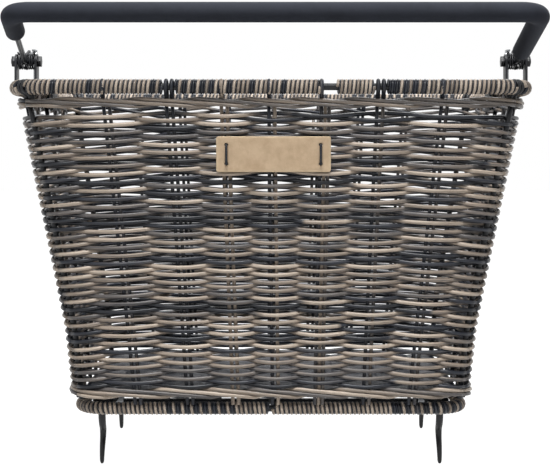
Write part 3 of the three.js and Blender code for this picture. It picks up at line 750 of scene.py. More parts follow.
@dataclass
class Shell:
    """The basket's tapered shape, as the middle surface of its walls."""

    top_width: float = 447 * MM
    top_depth: float = 320 * MM
    bottom_width: float = 343 * MM
    bottom_depth: float = 240 * MM
    height: float = 288 * MM
    top_rim_radius: float = 6.75 * MM
    bottom_rim_radius: float = 5.65 * MM
    wall_top: float = 270.5 * MM
    wall_bottom: float = 11.6 * MM
    knee: float = 75 * MM
    knee_inset: float = 4 * MM
    top_setback: float = 10.5 * MM
    bottom_setback: float = 0.9 * MM
    top_corner: float = 32 * MM
    bottom_corner: float = 26 * MM
    front_low: tuple[float, ...] = (-0.3321, -0.2014, -0.0874, 0.0118, 0.1199, 0.2387, 0.3527)
    front_high: tuple[float, ...] = (-0.3087, -0.1902, -0.0872, 0.0022, 0.1029, 0.2058, 0.3268)
    rear_count: int = 7
    rear_pitch: tuple[float, float] = (0.1137, 0.1051)
    side_count: int = 5
    side_pitch: tuple[float, float] = (0.1667, 0.1563)

    def share(self, z: float) -> float:
        """Return how far up the wall a height is, from 0 to 1."""
        return (z - self.wall_bottom) / (self.wall_top - self.wall_bottom)

    def half(self, z: float, bottom: float, top: float) -> float:
        """Return half the width between two opposite walls at a height.

        Args:
            z: the height.
            bottom: the basket's outer width at the base.
            top: the basket's outer width at the top rim.

        Returns:
            Half the width between the middle surfaces.
        """
        low = bottom / 2 - self.bottom_setback
        high = top / 2 - self.top_setback
        knee = low + (high - low) * self.share(self.knee) - self.knee_inset
        return float(np.interp(z, [self.wall_bottom, self.knee, self.wall_top],
                               [low, knee, high]))

    def half_x(self, z: float) -> float:
        """Return the middle surface's half width along X at a height."""
        return self.half(z, self.bottom_width, self.top_width)

    def half_y(self, z: float) -> float:
        """Return the middle surface's half width along Y at a height."""
        return self.half(z, self.bottom_depth, self.top_depth)

    def corner(self, z: float) -> float:
        """Return the corner radius at a height."""
        return self.bottom_corner + (self.top_corner - self.bottom_corner) * self.share(z)

    def reach(self, wall: Wall, z: float) -> float:
        """Return half a wall's length at a height, to the middle of its corners."""
        half = self.half_x(z) if wall.is_long else self.half_y(z)
        return half - self.corner(z) + self.corner(z) * math.pi / 4

    def surface(self, wall: Wall, z: float, u: np.ndarray) -> tuple[np.ndarray, np.ndarray]:
        """Follow a wall level with the ground, round half of each corner.

        Args:
            wall: the wall.
            z: the height.
            u: distances along the wall from its middle.

        Returns:
            Points on the middle surface and their level outward directions.
        """
        radius = self.corner(z)
        half_along = self.half_x(z) if wall.is_long else self.half_y(z)
        half_out = self.half_y(z) if wall.is_long else self.half_x(z)
        straight = half_along - radius
        turn = np.clip((np.abs(u) - straight) / radius, 0, None)
        sign = np.sign(u)
        normal = (np.outer(sign * np.sin(turn), wall.along) + np.outer(np.cos(turn), wall.out))
        base = (np.outer(np.clip(u, -straight, straight), wall.along)
                + np.outer(np.full(len(u), half_out - radius), wall.out))
        points = base + radius * normal
        points[:, 2] = z
        return points, normal

    def stakes(self, wall: Wall, z: float) -> np.ndarray:
        """Return the stakes' places along a wall at a height, its corner posts included.

        Args:
            wall: the wall.
            z: the height.

        Returns:
            Distances along the wall from its middle.
        """
        if wall is Wall.FRONT:
            low = np.array(self.front_low) * self.bottom_width
            high = np.array(self.front_high) * self.top_width
        elif wall is Wall.REAR:
            order = np.arange(self.rear_count) - self.rear_count // 2
            low = order * self.rear_pitch[0] * self.bottom_width
            high = order * self.rear_pitch[1] * self.top_width
        else:
            order = np.arange(self.side_count) - self.side_count // 2
            low = order * self.side_pitch[0] * self.bottom_depth
            high = order * self.side_pitch[1] * self.top_depth
        reach = self.reach(wall, z)
        return np.concatenate([[-reach], low + (high - low) * self.share(z), [reach]])


# Places round the basket are counted in stakes from the front left corner post, the posts too
WALL_START = {Wall.FRONT: 0, Wall.RIGHT: 8, Wall.REAR: 14, Wall.LEFT: 22}
STAKES_ROUND = 28

# Where the rims' windings are open: distances from the middle of the front, and a width
TOP_GAP = (43 * MM, 54 * MM)
BOTTOM_SEAM = (-0.5 * MM, 0.5 * MM)
LOOP_BREAK = 7.5 * MM


@dataclass
class Weave:
    """The woven walls: plain rows between a roped band at the top and at the bottom.

    Reaches and blends along a row are counted in stakes, and lengths are in metres.
    """

    shell: Shell
    strand_radius: float = 1.68 * MM
    first_row: float = 16.4 * MM
    row_pitch: float = 3.45 * MM
    row_count: int = 74
    swing: float = 3.5 * MM
    dip: float = 1.35 * MM
    droop: float = 3.6 * MM
    droop_reach: float = 1.5
    droop_power: float = 1.4
    droop_fade: float = 35 * MM
    wobble: float = 0.22 * MM
    flatness: float = 0.85
    tight_bands: tuple[float, float] = (221 * MM, 168 * MM)
    tight_reach: float = 7 * MM
    tight_share: float = 0.35
    roped_lift: float = 3.2 * MM
    roped_reach: float = 0.75
    roped_skip: int = 17
    # Painted shade: strands are darkened by this share where they pass inside the wall, less so next
    # to the corner posts
    inner_painted_shade: float = 0.75
    corner_shade_reach: float = 0.4
    corner_shade_share: float = 0.3
    rear_opening: float = 1.45
    # Painted shade: the whole rear wall is darkened by this share
    rear_painted_shade: float = 0.35
    rear_open_above: float = 185 * MM
    rear_fade: float = 25 * MM
    rear_tightening: float = 0.85
    rear_half: float = 5.5
    rear_blend: float = 1.5
    dye_run: tuple[float, float] = (3.0, 12.0)
    dye_spread: float = 0.06
    dye_blend: float = 0.09
    pale_chances: tuple[float, ...] = (0.05, 0.07, 0.18, 0.42, 0.28)
    dark_chances: tuple[float, ...] = (0.34, 0.27, 0.19, 0.14, 0.06)
    pale_pair_dark: float = 0.15
    dark_pair_dark: float = 0.72
    band_dark: float = 0.8
    dark_band: tuple[float, float] = (159 * MM, 175 * MM)
    roped_chances: tuple[float, ...] = (0.05, 0.1, 0.35, 0.4, 0.1)
    steps: int = 9
    band_rows: int = 3
    rng: np.random.Generator = field(default_factory=lambda: np.random.default_rng(SEED))

    def row_tones(self, chances: Sequence[float]) -> ToneRule:
        """Choose where a row's strand changes its dye on the way round.

        Args:
            chances: how likely each tone is, from the darkest to the lightest.

        Returns:
            A function from places round the basket, counted in stakes, to tones.
        """
        cuts = [0.0]
        while cuts[-1] < STAKES_ROUND:
            cuts.append(cuts[-1] + self.rng.uniform(*self.dye_run))
        picks = self.rng.choice([tone.value for tone in Tone], size=len(cuts) + 1, p=chances)
        picks = picks + self.rng.uniform(-self.dye_spread, self.dye_spread, size=len(picks))

        def tone_at(places: np.ndarray) -> np.ndarray:
            """Return the tone at each place.

            Args:
                places: places round the basket, counted in stakes.

            Returns:
                The tones.
            """
            value = np.full(len(places), picks[0])
            for cut, pick, before in zip(cuts, picks[1:], picks):
                mix = np.clip((places - cut) / self.dye_blend + 0.5, 0, 1)
                value = value + (pick - before) * mix
            return value

        return tone_at

    def dip_at(self, z: float) -> float:
        """Return how far strands bow at a height: less in two tightly beaten bands.

        Args:
            z: the height.

        Returns:
            The drop in front of a stake, in metres.
        """
        tight = sum(math.exp(-((z - middle) / self.tight_reach) ** 2)
                    for middle in self.tight_bands)
        return self.dip * (1 - self.tight_share * min(tight, 1))

    def rear_share(self, z: float, numbers: np.ndarray) -> np.ndarray:
        """Return the share of its bow that a strand has: more high in the rear wall, less below.

        Args:
            z: the height of the row.
            numbers: places round the basket, counted in stakes.

        Returns:
            A share for each place, 1 where the bow stays as it is.
        """
        closed = np.clip((self.rear_open_above - z) / self.rear_fade, 0, 1)
        middle = (WALL_START[Wall.REAR] + WALL_START[Wall.LEFT]) / 2
        behind = np.clip((self.rear_half - np.abs(numbers - middle)) / self.rear_blend, 0, 1)
        share = self.rear_opening + (1 - self.rear_tightening - self.rear_opening) * closed
        return 1 + (share - 1) * behind

    def from_corner(self, numbers: np.ndarray) -> np.ndarray:
        """Return how far places are from the nearest corner post, in stakes."""
        posts = np.array([*WALL_START.values(), STAKES_ROUND])
        return np.abs(numbers[:, None] - posts).min(axis=1)

    def droop_at(self, z: float, numbers: np.ndarray) -> np.ndarray:
        """Return how far a row hangs lower near the corners, less just above the base.

        Args:
            z: the height of the row.
            numbers: places round the basket, counted in stakes.

        Returns:
            The drop at each place, in metres.
        """
        near = np.clip(1 - self.from_corner(numbers) / self.droop_reach, 0, 1)
        risen = np.clip((z - self.first_row) / self.droop_fade, 0, 1)
        return self.droop * near**self.droop_power * risen

    def stations(self, wall: Wall, z: float) -> tuple[np.ndarray, np.ndarray]:
        """Return the places of a row's stations on a wall, in metres and in stakes.

        Args:
            wall: the wall.
            z: the height of the row.

        Returns:
            Distances from the middle of the wall, and places round the basket.
        """
        stakes = self.shell.stakes(wall, z)
        share = np.linspace(0, 1, self.steps, endpoint=False)
        numbers = (np.arange(len(stakes) - 1)[:, None] + share).ravel()
        numbers = np.append(numbers, len(stakes) - 1)
        return np.interp(numbers, np.arange(len(stakes)), stakes), numbers + WALL_START[wall]

    def plain_chances(self, row: int, z: float) -> tuple[float, ...]:
        """Weave two pale strands and two dark ones in turn, with some strands swapped.

        Args:
            row: the number of the row.
            z: the height of the row.

        Returns:
            How likely each tone is in that row, from the darkest to the lightest.
        """
        share = self.dark_pair_dark if row // 2 % 2 else self.pale_pair_dark
        if self.dark_band[0] < z < self.dark_band[1]:
            share = self.band_dark
        return self.dark_chances if self.rng.random() < share else self.pale_chances

    def row_lines(self) -> list[tuple[float, ToneRule, WeaveRule]]:
        """List every strand as its height, its tones and its swing and rise.

        Returns:
            The plain rows from below, then the roped bands.
        """
        lines = []
        last_plain = self.row_count - self.band_rows
        for row in range(self.band_rows, last_plain):
            z = self.first_row + row * self.row_pitch
            wobble = self.rng.uniform(-self.wobble, self.wobble, STAKES_ROUND)
            lines.append((z, self.row_tones(self.plain_chances(row, z)),
                          self.plain(row, self.dip_at(z), wobble)))
        for middle, lift in ((1, 0.0), (self.row_count - 2, self.roped_lift)):
            z = self.first_row + middle * self.row_pitch + lift
            for phase in range(self.band_rows):
                lines.append((z, self.row_tones(self.roped_chances), self.roped(phase)))
        return lines

    def plain(self, row: int, dip: float, wobble: np.ndarray) -> WeaveRule:
        """Weave over one stake and under the next.

        Args:
            row: the row's number, whose parity says which stakes it passes in front of.
            dip: how far it drops in front of a stake and rises behind one.
            wobble: a small rise of its own at each stake.

        Returns:
            A function from places to outward swing and rise, in metres.
        """
        sign = 1 if row % 2 else -1
        closed = np.append(wobble, wobble[0])

        def weave(places: np.ndarray) -> tuple[np.ndarray, np.ndarray]:
            """Return the swing and the rise at each place.

            Args:
                places: places round the basket, counted in stakes.

            Returns:
                The outward swing and the rise, in metres.
            """
            wave = sign * np.cos(math.pi * places)
            flat = np.sign(wave) * np.abs(wave) ** self.flatness
            uneven = np.interp(places, np.arange(STAKES_ROUND + 1), closed)
            return self.swing * flat, -dip * wave + uneven

        return weave

    def roped(self, phase: int) -> WeaveRule:
        """Weave in front of two stakes and behind one, crossing the band on the way.

        The stakes aren't a multiple of three, so two steps in the rear wall count as one.

        Args:
            phase: which of the three stakes the strand passes behind.

        Returns:
            A function from places to outward swing and rise, in metres.
        """
        knots = [0, self.roped_skip, self.roped_skip + 2, STAKES_ROUND]
        counts = [0, self.roped_skip, self.roped_skip + 1, STAKES_ROUND - 1]
        reach = self.roped_reach

        def weave(places: np.ndarray) -> tuple[np.ndarray, np.ndarray]:
            """Return the swing and the rise at each place.

            Args:
                places: places round the basket, counted in stakes.

            Returns:
                The outward swing and the rise, in metres.
            """
            turn = (np.interp(places, knots, counts) - phase) % 3
            near = np.minimum(turn, 3 - turn)
            behind = np.where(near < reach, np.cos(math.pi * near / (2 * reach)) ** 2, 0)
            height = np.interp((turn - 0.5) % 3, [0, 2, 3], [1, -1, 1])
            return self.swing * (1 - 2 * behind), self.row_pitch * height

        return weave

    def build(self) -> None:
        """Weave each wall as one piece in place of its solid."""
        lines = self.row_lines()
        for wall in Wall:
            parts = []
            for z, tones, weave in lines:
                u, numbers = self.stations(wall, z)
                points, normals = self.shell.surface(wall, z, u)
                swing, rise = weave(numbers)
                path = points + normals * swing[:, None]
                path[:, 2] += rise * self.rear_share(z, numbers)
                if z < self.shell.wall_top - self.band_rows * self.row_pitch:
                    path[:, 2] -= self.droop_at(z, numbers)
                # Painted shade: a strand's tone is darkened where it passes inside the wall, less so
                # next to the corner posts
                inside = np.clip(-swing / self.swing, 0, 1)
                inside = inside * np.clip(self.from_corner(numbers) / self.corner_shade_reach,
                                          self.corner_shade_share, 1)
                tone = tones(numbers) * (1 - self.inner_painted_shade * inside)
                # Painted shade: the rear wall is darker all over
                if wall is Wall.REAR:
                    tone = tone * (1 - self.rear_painted_shade)
                parts.append(Strand(path, self.strand_radius, tone, normals))
            side = wall.name.lower()
            dress(strands(f"{side}_woven_rows", parts), "basket", CANE, f"{side}_weave")


@dataclass
class Stakes:
    """The uprights: pairs of rods with loops over the top rim, and the corner posts."""

    shell: Shell
    radius: float = 1.55 * MM
    pitch: float = 4.9 * MM
    foot: float = 9.5 * MM
    post_radius: float = 2.5 * MM
    loop_radius: float = 1.75 * MM
    loop_bend_mm: float = 5.15
    loop_away_mm: float = 3.75
    loop_turns: tuple[float, ...] = (-25, 20, 60, 90, 125, 165, 200)
    loop_start_mm: tuple[tuple[float, float], ...] = ((0.0, 0.0), (2.2, 4.5))
    loop_end_mm: tuple[tuple[float, float], ...] = ((-1.6, 4.5), (-1.4, -2.0))
    loop_lean: float = 1 * MM
    knee_stations: int = 4
    top_stations: int = 9
    post_stations: int = 10
    post_lift: float = 2 * MM
    black_tone: float = 0.05
    other_tones: tuple[float, ...] = (0.12, 0.35, 0.55)
    rods: dict[Wall, tuple[int, ...]] = field(default_factory=lambda: {
        Wall.FRONT: (2, 2, 2, 2, 3, 2, 2), Wall.REAR: (2,) * 7,
        Wall.LEFT: (2,) * 5, Wall.RIGHT: (2,) * 5,
    })
    front_tones: tuple[tuple[float, ...], ...] = (
        (0.15, 0.3), (0.04, 0.04), (0.75, 0.8), (0.15, 0.85), (0.3, 0.75, 0.5), (0.04, 0.5),
        (0.2, 0.35),
    )
    black: dict[Wall, tuple[int, ...]] = field(default_factory=lambda: {
        Wall.FRONT: (1, 5), Wall.REAR: (1, 5), Wall.LEFT: (2,), Wall.RIGHT: (2,),
    })

    def rod_path(self, wall: Wall, index: int, shift: float) -> np.ndarray:
        """Return a rod's stations from its foot to the top of the wall.

        Args:
            wall: the wall.
            index: the upright's number on the wall, from 0.
            shift: the rod's distance from the middle of its upright.

        Returns:
            The stations, from below.
        """
        shell = self.shell
        low = np.linspace(shell.wall_bottom, shell.knee, self.knee_stations)
        high = np.linspace(shell.knee, shell.wall_top, self.top_stations)
        heights = np.concatenate([[self.foot], low, high[1:]])
        points = []
        for z in heights:
            z_wall = max(z, shell.wall_bottom)
            place = np.array([shell.stakes(wall, z_wall)[index + 1] + shift])
            point = shell.surface(wall, z_wall, place)[0][0]
            point[2] = z
            points.append(point)
        return np.array(points)

    def loop(self, out: np.ndarray, top: np.ndarray, lean: float) -> np.ndarray:
        """Take a rod over the rim and back down inside, as one loop.

        Args:
            out: the level direction that points out of the basket there.
            top: where the rod leaves the wall.
            lean: how far the loop leans along the wall.

        Returns:
            The loop's stations.
        """
        along = np.array([-out[1], out[0], 0.0])
        rim = self.shell.height - self.shell.top_rim_radius
        rise = (rim - top[2]) / MM
        route = [(away, up - rise) for away, up in self.loop_start_mm]
        for turn in np.radians(self.loop_turns):
            route.append((self.loop_bend_mm * math.cos(turn) + self.loop_away_mm,
                          self.loop_bend_mm * math.sin(turn)))
        route += [(away, up - rise) for away, up in self.loop_end_mm]
        points = []
        for step, (away, up) in enumerate(route):
            point = top + out * away * MM
            point = point + along * lean * step / len(route)
            point[2] = rim + up * MM
            points.append(point)
        return smooth_path(points, steps=3)

    def build(self) -> None:
        """Build the uprights of each wall and the four posts."""
        rng = np.random.default_rng(SEED + 1)
        for wall in Wall:
            parts = []
            side = wall.name.lower()
            for index, count in enumerate(self.rods[wall]):
                is_black = index in self.black[wall]
                for rod in range(count):
                    shift = (rod - (count - 1) / 2) * self.pitch * 2 / count
                    tone = self.black_tone if is_black else float(rng.choice(self.other_tones))
                    if wall is Wall.FRONT:
                        tone = self.front_tones[index][rod]
                    path = self.rod_path(wall, index, shift)
                    parts.append(Strand(path, self.radius, tone))
                    if rod == 0 or (is_black and rod == 1):
                        lean = rng.uniform(-self.loop_lean, self.loop_lean)
                        loop = self.loop(wall.out, path[-1], lean)
                        shade = self.black_tone if is_black else max(tone, self.black_tone)
                        parts.append(Strand(loop, self.loop_radius, shade))
            dress(strands(f"{side}_uprights", parts), "basket", STAKE_CANE, f"{side}_stakes")
        for name, wall, end in (("front_left", Wall.FRONT, 0), ("front_right", Wall.FRONT, -1),
                                ("rear_right", Wall.REAR, 0), ("rear_left", Wall.REAR, -1)):
            path = []
            for z in np.linspace(self.shell.wall_bottom + self.post_lift, self.shell.wall_top,
                                 self.post_stations):
                points, outward = self.shell.surface(wall, z, self.shell.stakes(wall, z)[[end]])
                path.append(points[0])
                out = outward[0]
            along = np.array([-out[1], out[0], 0.0])
            parts = [Strand(np.array(path), self.post_radius, sides=14)]
            for shift in (-0.5, 0.5):
                top = path[-1] + along * shift * self.pitch
                parts.append(Strand(self.loop(out, top, 0.0), self.loop_radius))
            dress(strands(f"{name}_corner_post", parts), "basket", COATED, f"{name}_post")


@dataclass
class Rim:
    """A steel ring and the cane that is wound round it, a pale and a dark strand in turn."""

    name: str
    width: float
    depth: float
    radius: float
    corner: float
    height: float
    gap: tuple[float, float]
    lay: int
    wire_radius: float = 3.0 * MM
    turn_pitch: float = 3.9 * MM
    pale_half_width: float = 1.35 * MM
    dark_half_width: float = 0.75 * MM
    dark_inset: float = 0.3 * MM
    pale_spread: tuple[float, float] = (-0.08, 0.14)
    dark_spread: tuple[float, float] = (0.0, 0.3)
    wave_turns: float = 9.0
    wave_phase: float = 6.0
    wave_level: float = 0.65
    stray_share: float = 0.06
    stray_tone: float = 0.12
    thin_tone: float = 0.17
    seam: float = 0.15 * MM
    clearance: float = 0.05 * MM
    ring_stations: int = 240
    steps: int = 14
    breaks: tuple[tuple[float, float], ...] = ()

    def ring(self, places: np.ndarray) -> tuple[np.ndarray, np.ndarray]:
        """Follow the ring from the middle of the front, towards the right.

        Args:
            places: distances along the ring, in metres.

        Returns:
            Points on the ring and their level outward directions.
        """
        half_x = self.width / 2 - self.radius
        half_y = self.depth / 2 - self.radius
        flat_x = half_x - self.corner
        flat_y = half_y - self.corner
        arc = self.corner * math.pi / 2
        lengths = [flat_x, arc, 2 * flat_y, arc, 2 * flat_x, arc, 2 * flat_y, arc, flat_x]
        starts = np.concatenate([[0], np.cumsum(lengths)])
        directions = [0, 0, 90, 90, 180, 180, 270, 270, 360]
        anchors = [(0, -half_y), (flat_x, -half_y), (half_x, -flat_y), (half_x, flat_y),
                   (flat_x, half_y), (-flat_x, half_y), (-half_x, flat_y), (-half_x, -flat_y),
                   (-flat_x, -half_y)]
        places = np.mod(places, starts[-1])
        piece = np.clip(np.searchsorted(starts, places, side="right") - 1, 0, len(anchors) - 1)
        heading = np.radians(np.array(directions, dtype=float))[piece]
        run = places - starts[piece]
        anchor = np.array(anchors)[piece]
        on_arc = piece % 2 == 1
        turn = np.where(on_arc, run / self.corner, 0)
        ahead = np.where(on_arc, np.sin(turn) * self.corner, run)
        inward = np.where(on_arc, (1 - np.cos(turn)) * self.corner, 0)
        x = anchor[:, 0] + ahead * np.cos(heading) - inward * np.sin(heading)
        y = anchor[:, 1] + ahead * np.sin(heading) + inward * np.cos(heading)
        angle = heading + turn
        points = np.stack([x, y, np.full(len(x), self.height)], axis=1)
        outward = np.stack([np.sin(angle), -np.cos(angle), np.zeros(len(x))], axis=1)
        return points, outward

    @property
    def length(self) -> float:
        """Return the length of the ring."""
        flat = 2 * (self.width + self.depth - 4 * self.radius - 4 * self.corner)
        return flat + 2 * math.pi * self.corner

    def stretches(self) -> Iterable[tuple[float, float]]:
        """Return the stretches of the ring that are wound.

        Returns:
            Where each stretch starts and stops along the ring.
        """
        marks = [(place % self.length, width) for place, width in self.breaks]
        middle = (self.gap[0] + self.gap[1]) / 2
        marks.append((middle % self.length, self.gap[1] - self.gap[0]))
        marks.sort()
        for (start, width), (end, next_width) in zip(marks, marks[1:] + [marks[0]]):
            stop = end + (self.length if end <= start else 0)
            yield start + width / 2, stop - next_width / 2

    def build(self) -> None:
        """Wind the ring in stretches and lay the steel inside."""
        rng = np.random.default_rng(SEED + len(self.name))
        wrap_radius = (self.radius - self.wire_radius) / 2
        coil = self.wire_radius + wrap_radius
        parts = []
        for start, stop in self.stretches():
            turns = max(1, round((stop - start) / self.turn_pitch))
            count = turns * self.steps + 1
            places = np.linspace(start + wrap_radius, stop - wrap_radius, count)
            points, outward = self.ring(places)
            rounds = np.arange(turns + 2)
            picks = rng.choice([Tone.TAUPE.value, Tone.STRAW.value], turns + 2)
            picks = picks + rng.uniform(*self.pale_spread, turns + 2)
            wave = np.sin(rounds / self.wave_turns + rng.uniform(0, self.wave_phase))
            dark = (wave > self.wave_level) & (rounds % 2 == 0)
            picks[dark] = rng.uniform(*self.dark_spread, int(dark.sum()))
            picks[rng.random(turns + 2) < self.stray_share] = self.stray_tone
            tone = picks[(np.arange(count) + self.steps // 2) // self.steps]
            for half_width, inset, lag, dye in (
                    (self.pale_half_width, 0.0, 0.0, tone),
                    (self.dark_half_width, self.dark_inset, 0.5, self.thin_tone)):
                angle = np.linspace(0, 2 * math.pi * turns, count) + 2 * math.pi * lag
                lift = np.array([0.0, 0.0, self.lay]) * np.sin(angle)[:, None]
                radial = outward * np.cos(angle)[:, None] + lift
                parts.append(Strand(points + radial * (coil - inset), half_width, dye, radial,
                                    thickness=wrap_radius / half_width))
        winding = strands(f"{self.name}_rim_winding", parts)
        dress(winding, "basket", CANE, f"{self.name}_rim_wrap")
        half = self.length / 2 - self.seam
        points, outward = self.ring(np.linspace(-half, half, self.ring_stations))
        ring = Strand(points, self.wire_radius - self.clearance, outward=outward, sides=16)
        dress(strands(f"{self.name}_rim_ring", [ring]), "basket", COATED, f"{self.name}_rim_wire")


@dataclass
class Floor:
    """The woven floor on its wire grid, with the runner below."""

    shell: Shell
    level: float = 17 * MM
    inset: float = 5.6 * MM
    corner: float = 20 * MM
    strand_radius: float = 1.5 * MM
    row_pitch: float = 3.3 * MM
    swing: float = 1.6 * MM
    stake_radius: float = 1.2 * MM
    stake_pitch: float = 39 * MM
    stakes_each_way: int = 4
    stake_trim: float = 2 * MM
    stake_stations: int = 6
    end_place: float = 140 * MM
    end_trim: float = 14 * MM
    # Painted shade: the floor's rows and stakes are kept near black to stand for the shade inside the
    # basket
    row_tones: tuple[float, ...] = (0.0, 0.05, 0.12, 0.3)
    stake_tone: float = 0.2
    wire_radius: float = 2 * MM
    wire_count: int = 7
    wire_level: float = 11.7 * MM
    wire_inset: float = 36.5 * MM
    wire_half_length: float = 108 * MM
    cross_half_length: float = 143 * MM
    cross_place: float = 52 * MM
    steps: int = 8

    @property
    def half_y(self) -> float:
        """Return how far the floor reaches along Y."""
        return self.shell.half_y(self.level) - self.inset

    def edge(self, y: float) -> float:
        """Return how far the floor reaches along X at a place across it.

        Args:
            y: the place across the floor.

        Returns:
            The distance from the floor's middle line.
        """
        half_x = self.shell.half_x(self.level) - self.inset
        over = max(abs(y) - (self.half_y - self.corner), 0)
        return half_x - self.corner + math.sqrt(max(self.corner**2 - over**2, 0))

    def wires(self) -> Iterable[Strand]:
        """Return the grid's straight wires, those along Y first.

        Returns:
            One strand for each wire.
        """
        half_row = self.shell.bottom_width / 2 - self.wire_inset
        for x in np.linspace(-half_row, half_row, self.wire_count):
            ends = [[x, y, self.wire_level] for y in (-self.wire_half_length, self.wire_half_length)]
            yield Strand(np.array(ends), self.wire_radius, sides=14)
        for y in (-self.cross_place, self.cross_place):
            ends = [[x, y, self.wire_level] for x in (-self.cross_half_length, self.cross_half_length)]
            yield Strand(np.array(ends), self.wire_radius, sides=14)

    def build(self) -> None:
        """Weave the floor and lay the grid and the runner."""
        rng = np.random.default_rng(SEED + 3)
        rows = int((self.half_y - self.strand_radius) / self.row_pitch)
        parts = []
        for row in range(-rows, rows + 1):
            y = row * self.row_pitch
            reach = self.edge(y) - self.strand_radius
            count = int(2 * reach / self.stake_pitch * self.steps) + 2
            x = np.linspace(-reach, reach, count)
            wave = (1 if row % 2 else -1) * np.cos(math.pi * x / self.stake_pitch)
            path = np.stack([x, np.full(count, y), self.level + self.swing * wave], axis=1)
            up = np.tile([0.0, 0.0, 1.0], (count, 1))
            parts.append(Strand(path, self.strand_radius, float(rng.choice(self.row_tones)), up,
                                sides=6))
        for stake in range(-self.stakes_each_way, self.stakes_each_way + 1):
            x = stake * self.stake_pitch
            reach = self.half_y - (self.stake_trim if abs(x) < self.end_place else self.end_trim)
            path = [[x, y, self.level] for y in np.linspace(-reach, reach, self.stake_stations)]
            parts.append(Strand(np.array(path), self.stake_radius, self.stake_tone))
        dress(strands("woven_floor", parts), "basket", CANE, "floor_weave")
        dress(strands("floor_wire_grid", list(self.wires())), "basket", COATED, "floor_grid")
        refit("carrier_runner", "base_runner", "basket", COATED, bevel=0.6 * MM, segments=3)


@dataclass
class Label:
    """A blank leather label that two cane ties hold to the front wall."""

    cut_spacing: float = 2.5 * MM
    edge_width: float = 1.1 * MM
    edge_bevel: float = 0.45 * MM
    edge_angle: float = math.radians(50)
    corner_lift: float = 0.5 * MM
    tie_radius: float = 1.1 * MM
    tie_tone: float = 0.1
    tie_step: float = 1.2 * MM
    tie_bend: float = 1.6

    def build(self) -> None:
        """Cut the leather finely, lift its corners a little and add the ties."""
        low, high = (Vector(corner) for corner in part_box("leather_label"))
        bm = welded("leather_label")
        round_edges(bm, self.edge_angle, self.edge_bevel, 3)
        for axis in (0, 2):
            size = high[axis] - low[axis]
            cuts = max(2, round(size / self.cut_spacing))
            for cut in range(1, cuts):
                place = Vector((0.0, 0.0, 0.0))
                place[axis] = low[axis] + size * cut / cuts
                normal = Vector((0.0, 0.0, 0.0))
                normal[axis] = 1.0
                bmesh.ops.bisect_plane(bm, geom=bm.verts[:] + bm.edges[:] + bm.faces[:],
                                       plane_co=place, plane_no=normal, dist=1e-7)
        bmesh.ops.triangulate(bm, faces=[face for face in bm.faces if len(face.verts) > 4])
        edge_layer = bm.verts.layers.float.new("edge")
        for vert in bm.verts:
            inset = min(vert.co.x - low.x, high.x - vert.co.x, vert.co.z - low.z,
                        high.z - vert.co.z)
            vert[edge_layer] = max(0.0, 1 - inset / self.edge_width)
            across = (vert.co.x - low.x) / (high.x - low.x) * 2 - 1
            level = (vert.co.z - low.z) / (high.z - low.z) * 2 - 1
            vert.co.y -= self.corner_lift * abs(across) ** 3 * level**2
        for face in bm.faces:
            face.smooth = True
        name = "blank_leather_label"
        dress(new_object(name, mesh_from(name, bm)), "basket", LEATHER, "leather_label")
        for side in ("left", "right"):
            node = f"label_tie_{side}"
            low, high = (Vector(corner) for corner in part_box(node))
            x = (low.x + high.x) / 2
            r = self.tie_radius
            bend = self.tie_bend * r
            route = [(x, high.y - r, low.z + r), (x, low.y + 2 * r, low.z + r),
                     (x, low.y + r + self.tie_step, low.z + bend), (x, low.y + r, high.z - bend),
                     (x, low.y + 2 * r, high.z - r), (x, high.y - 2 * r, high.z - r)]
            strand = Strand(smooth_path(route, steps=5), r, self.tie_tone, sides=10)
            dress(strands(f"{side}_label_tie", [strand]), "basket", TIE_CANE, node)


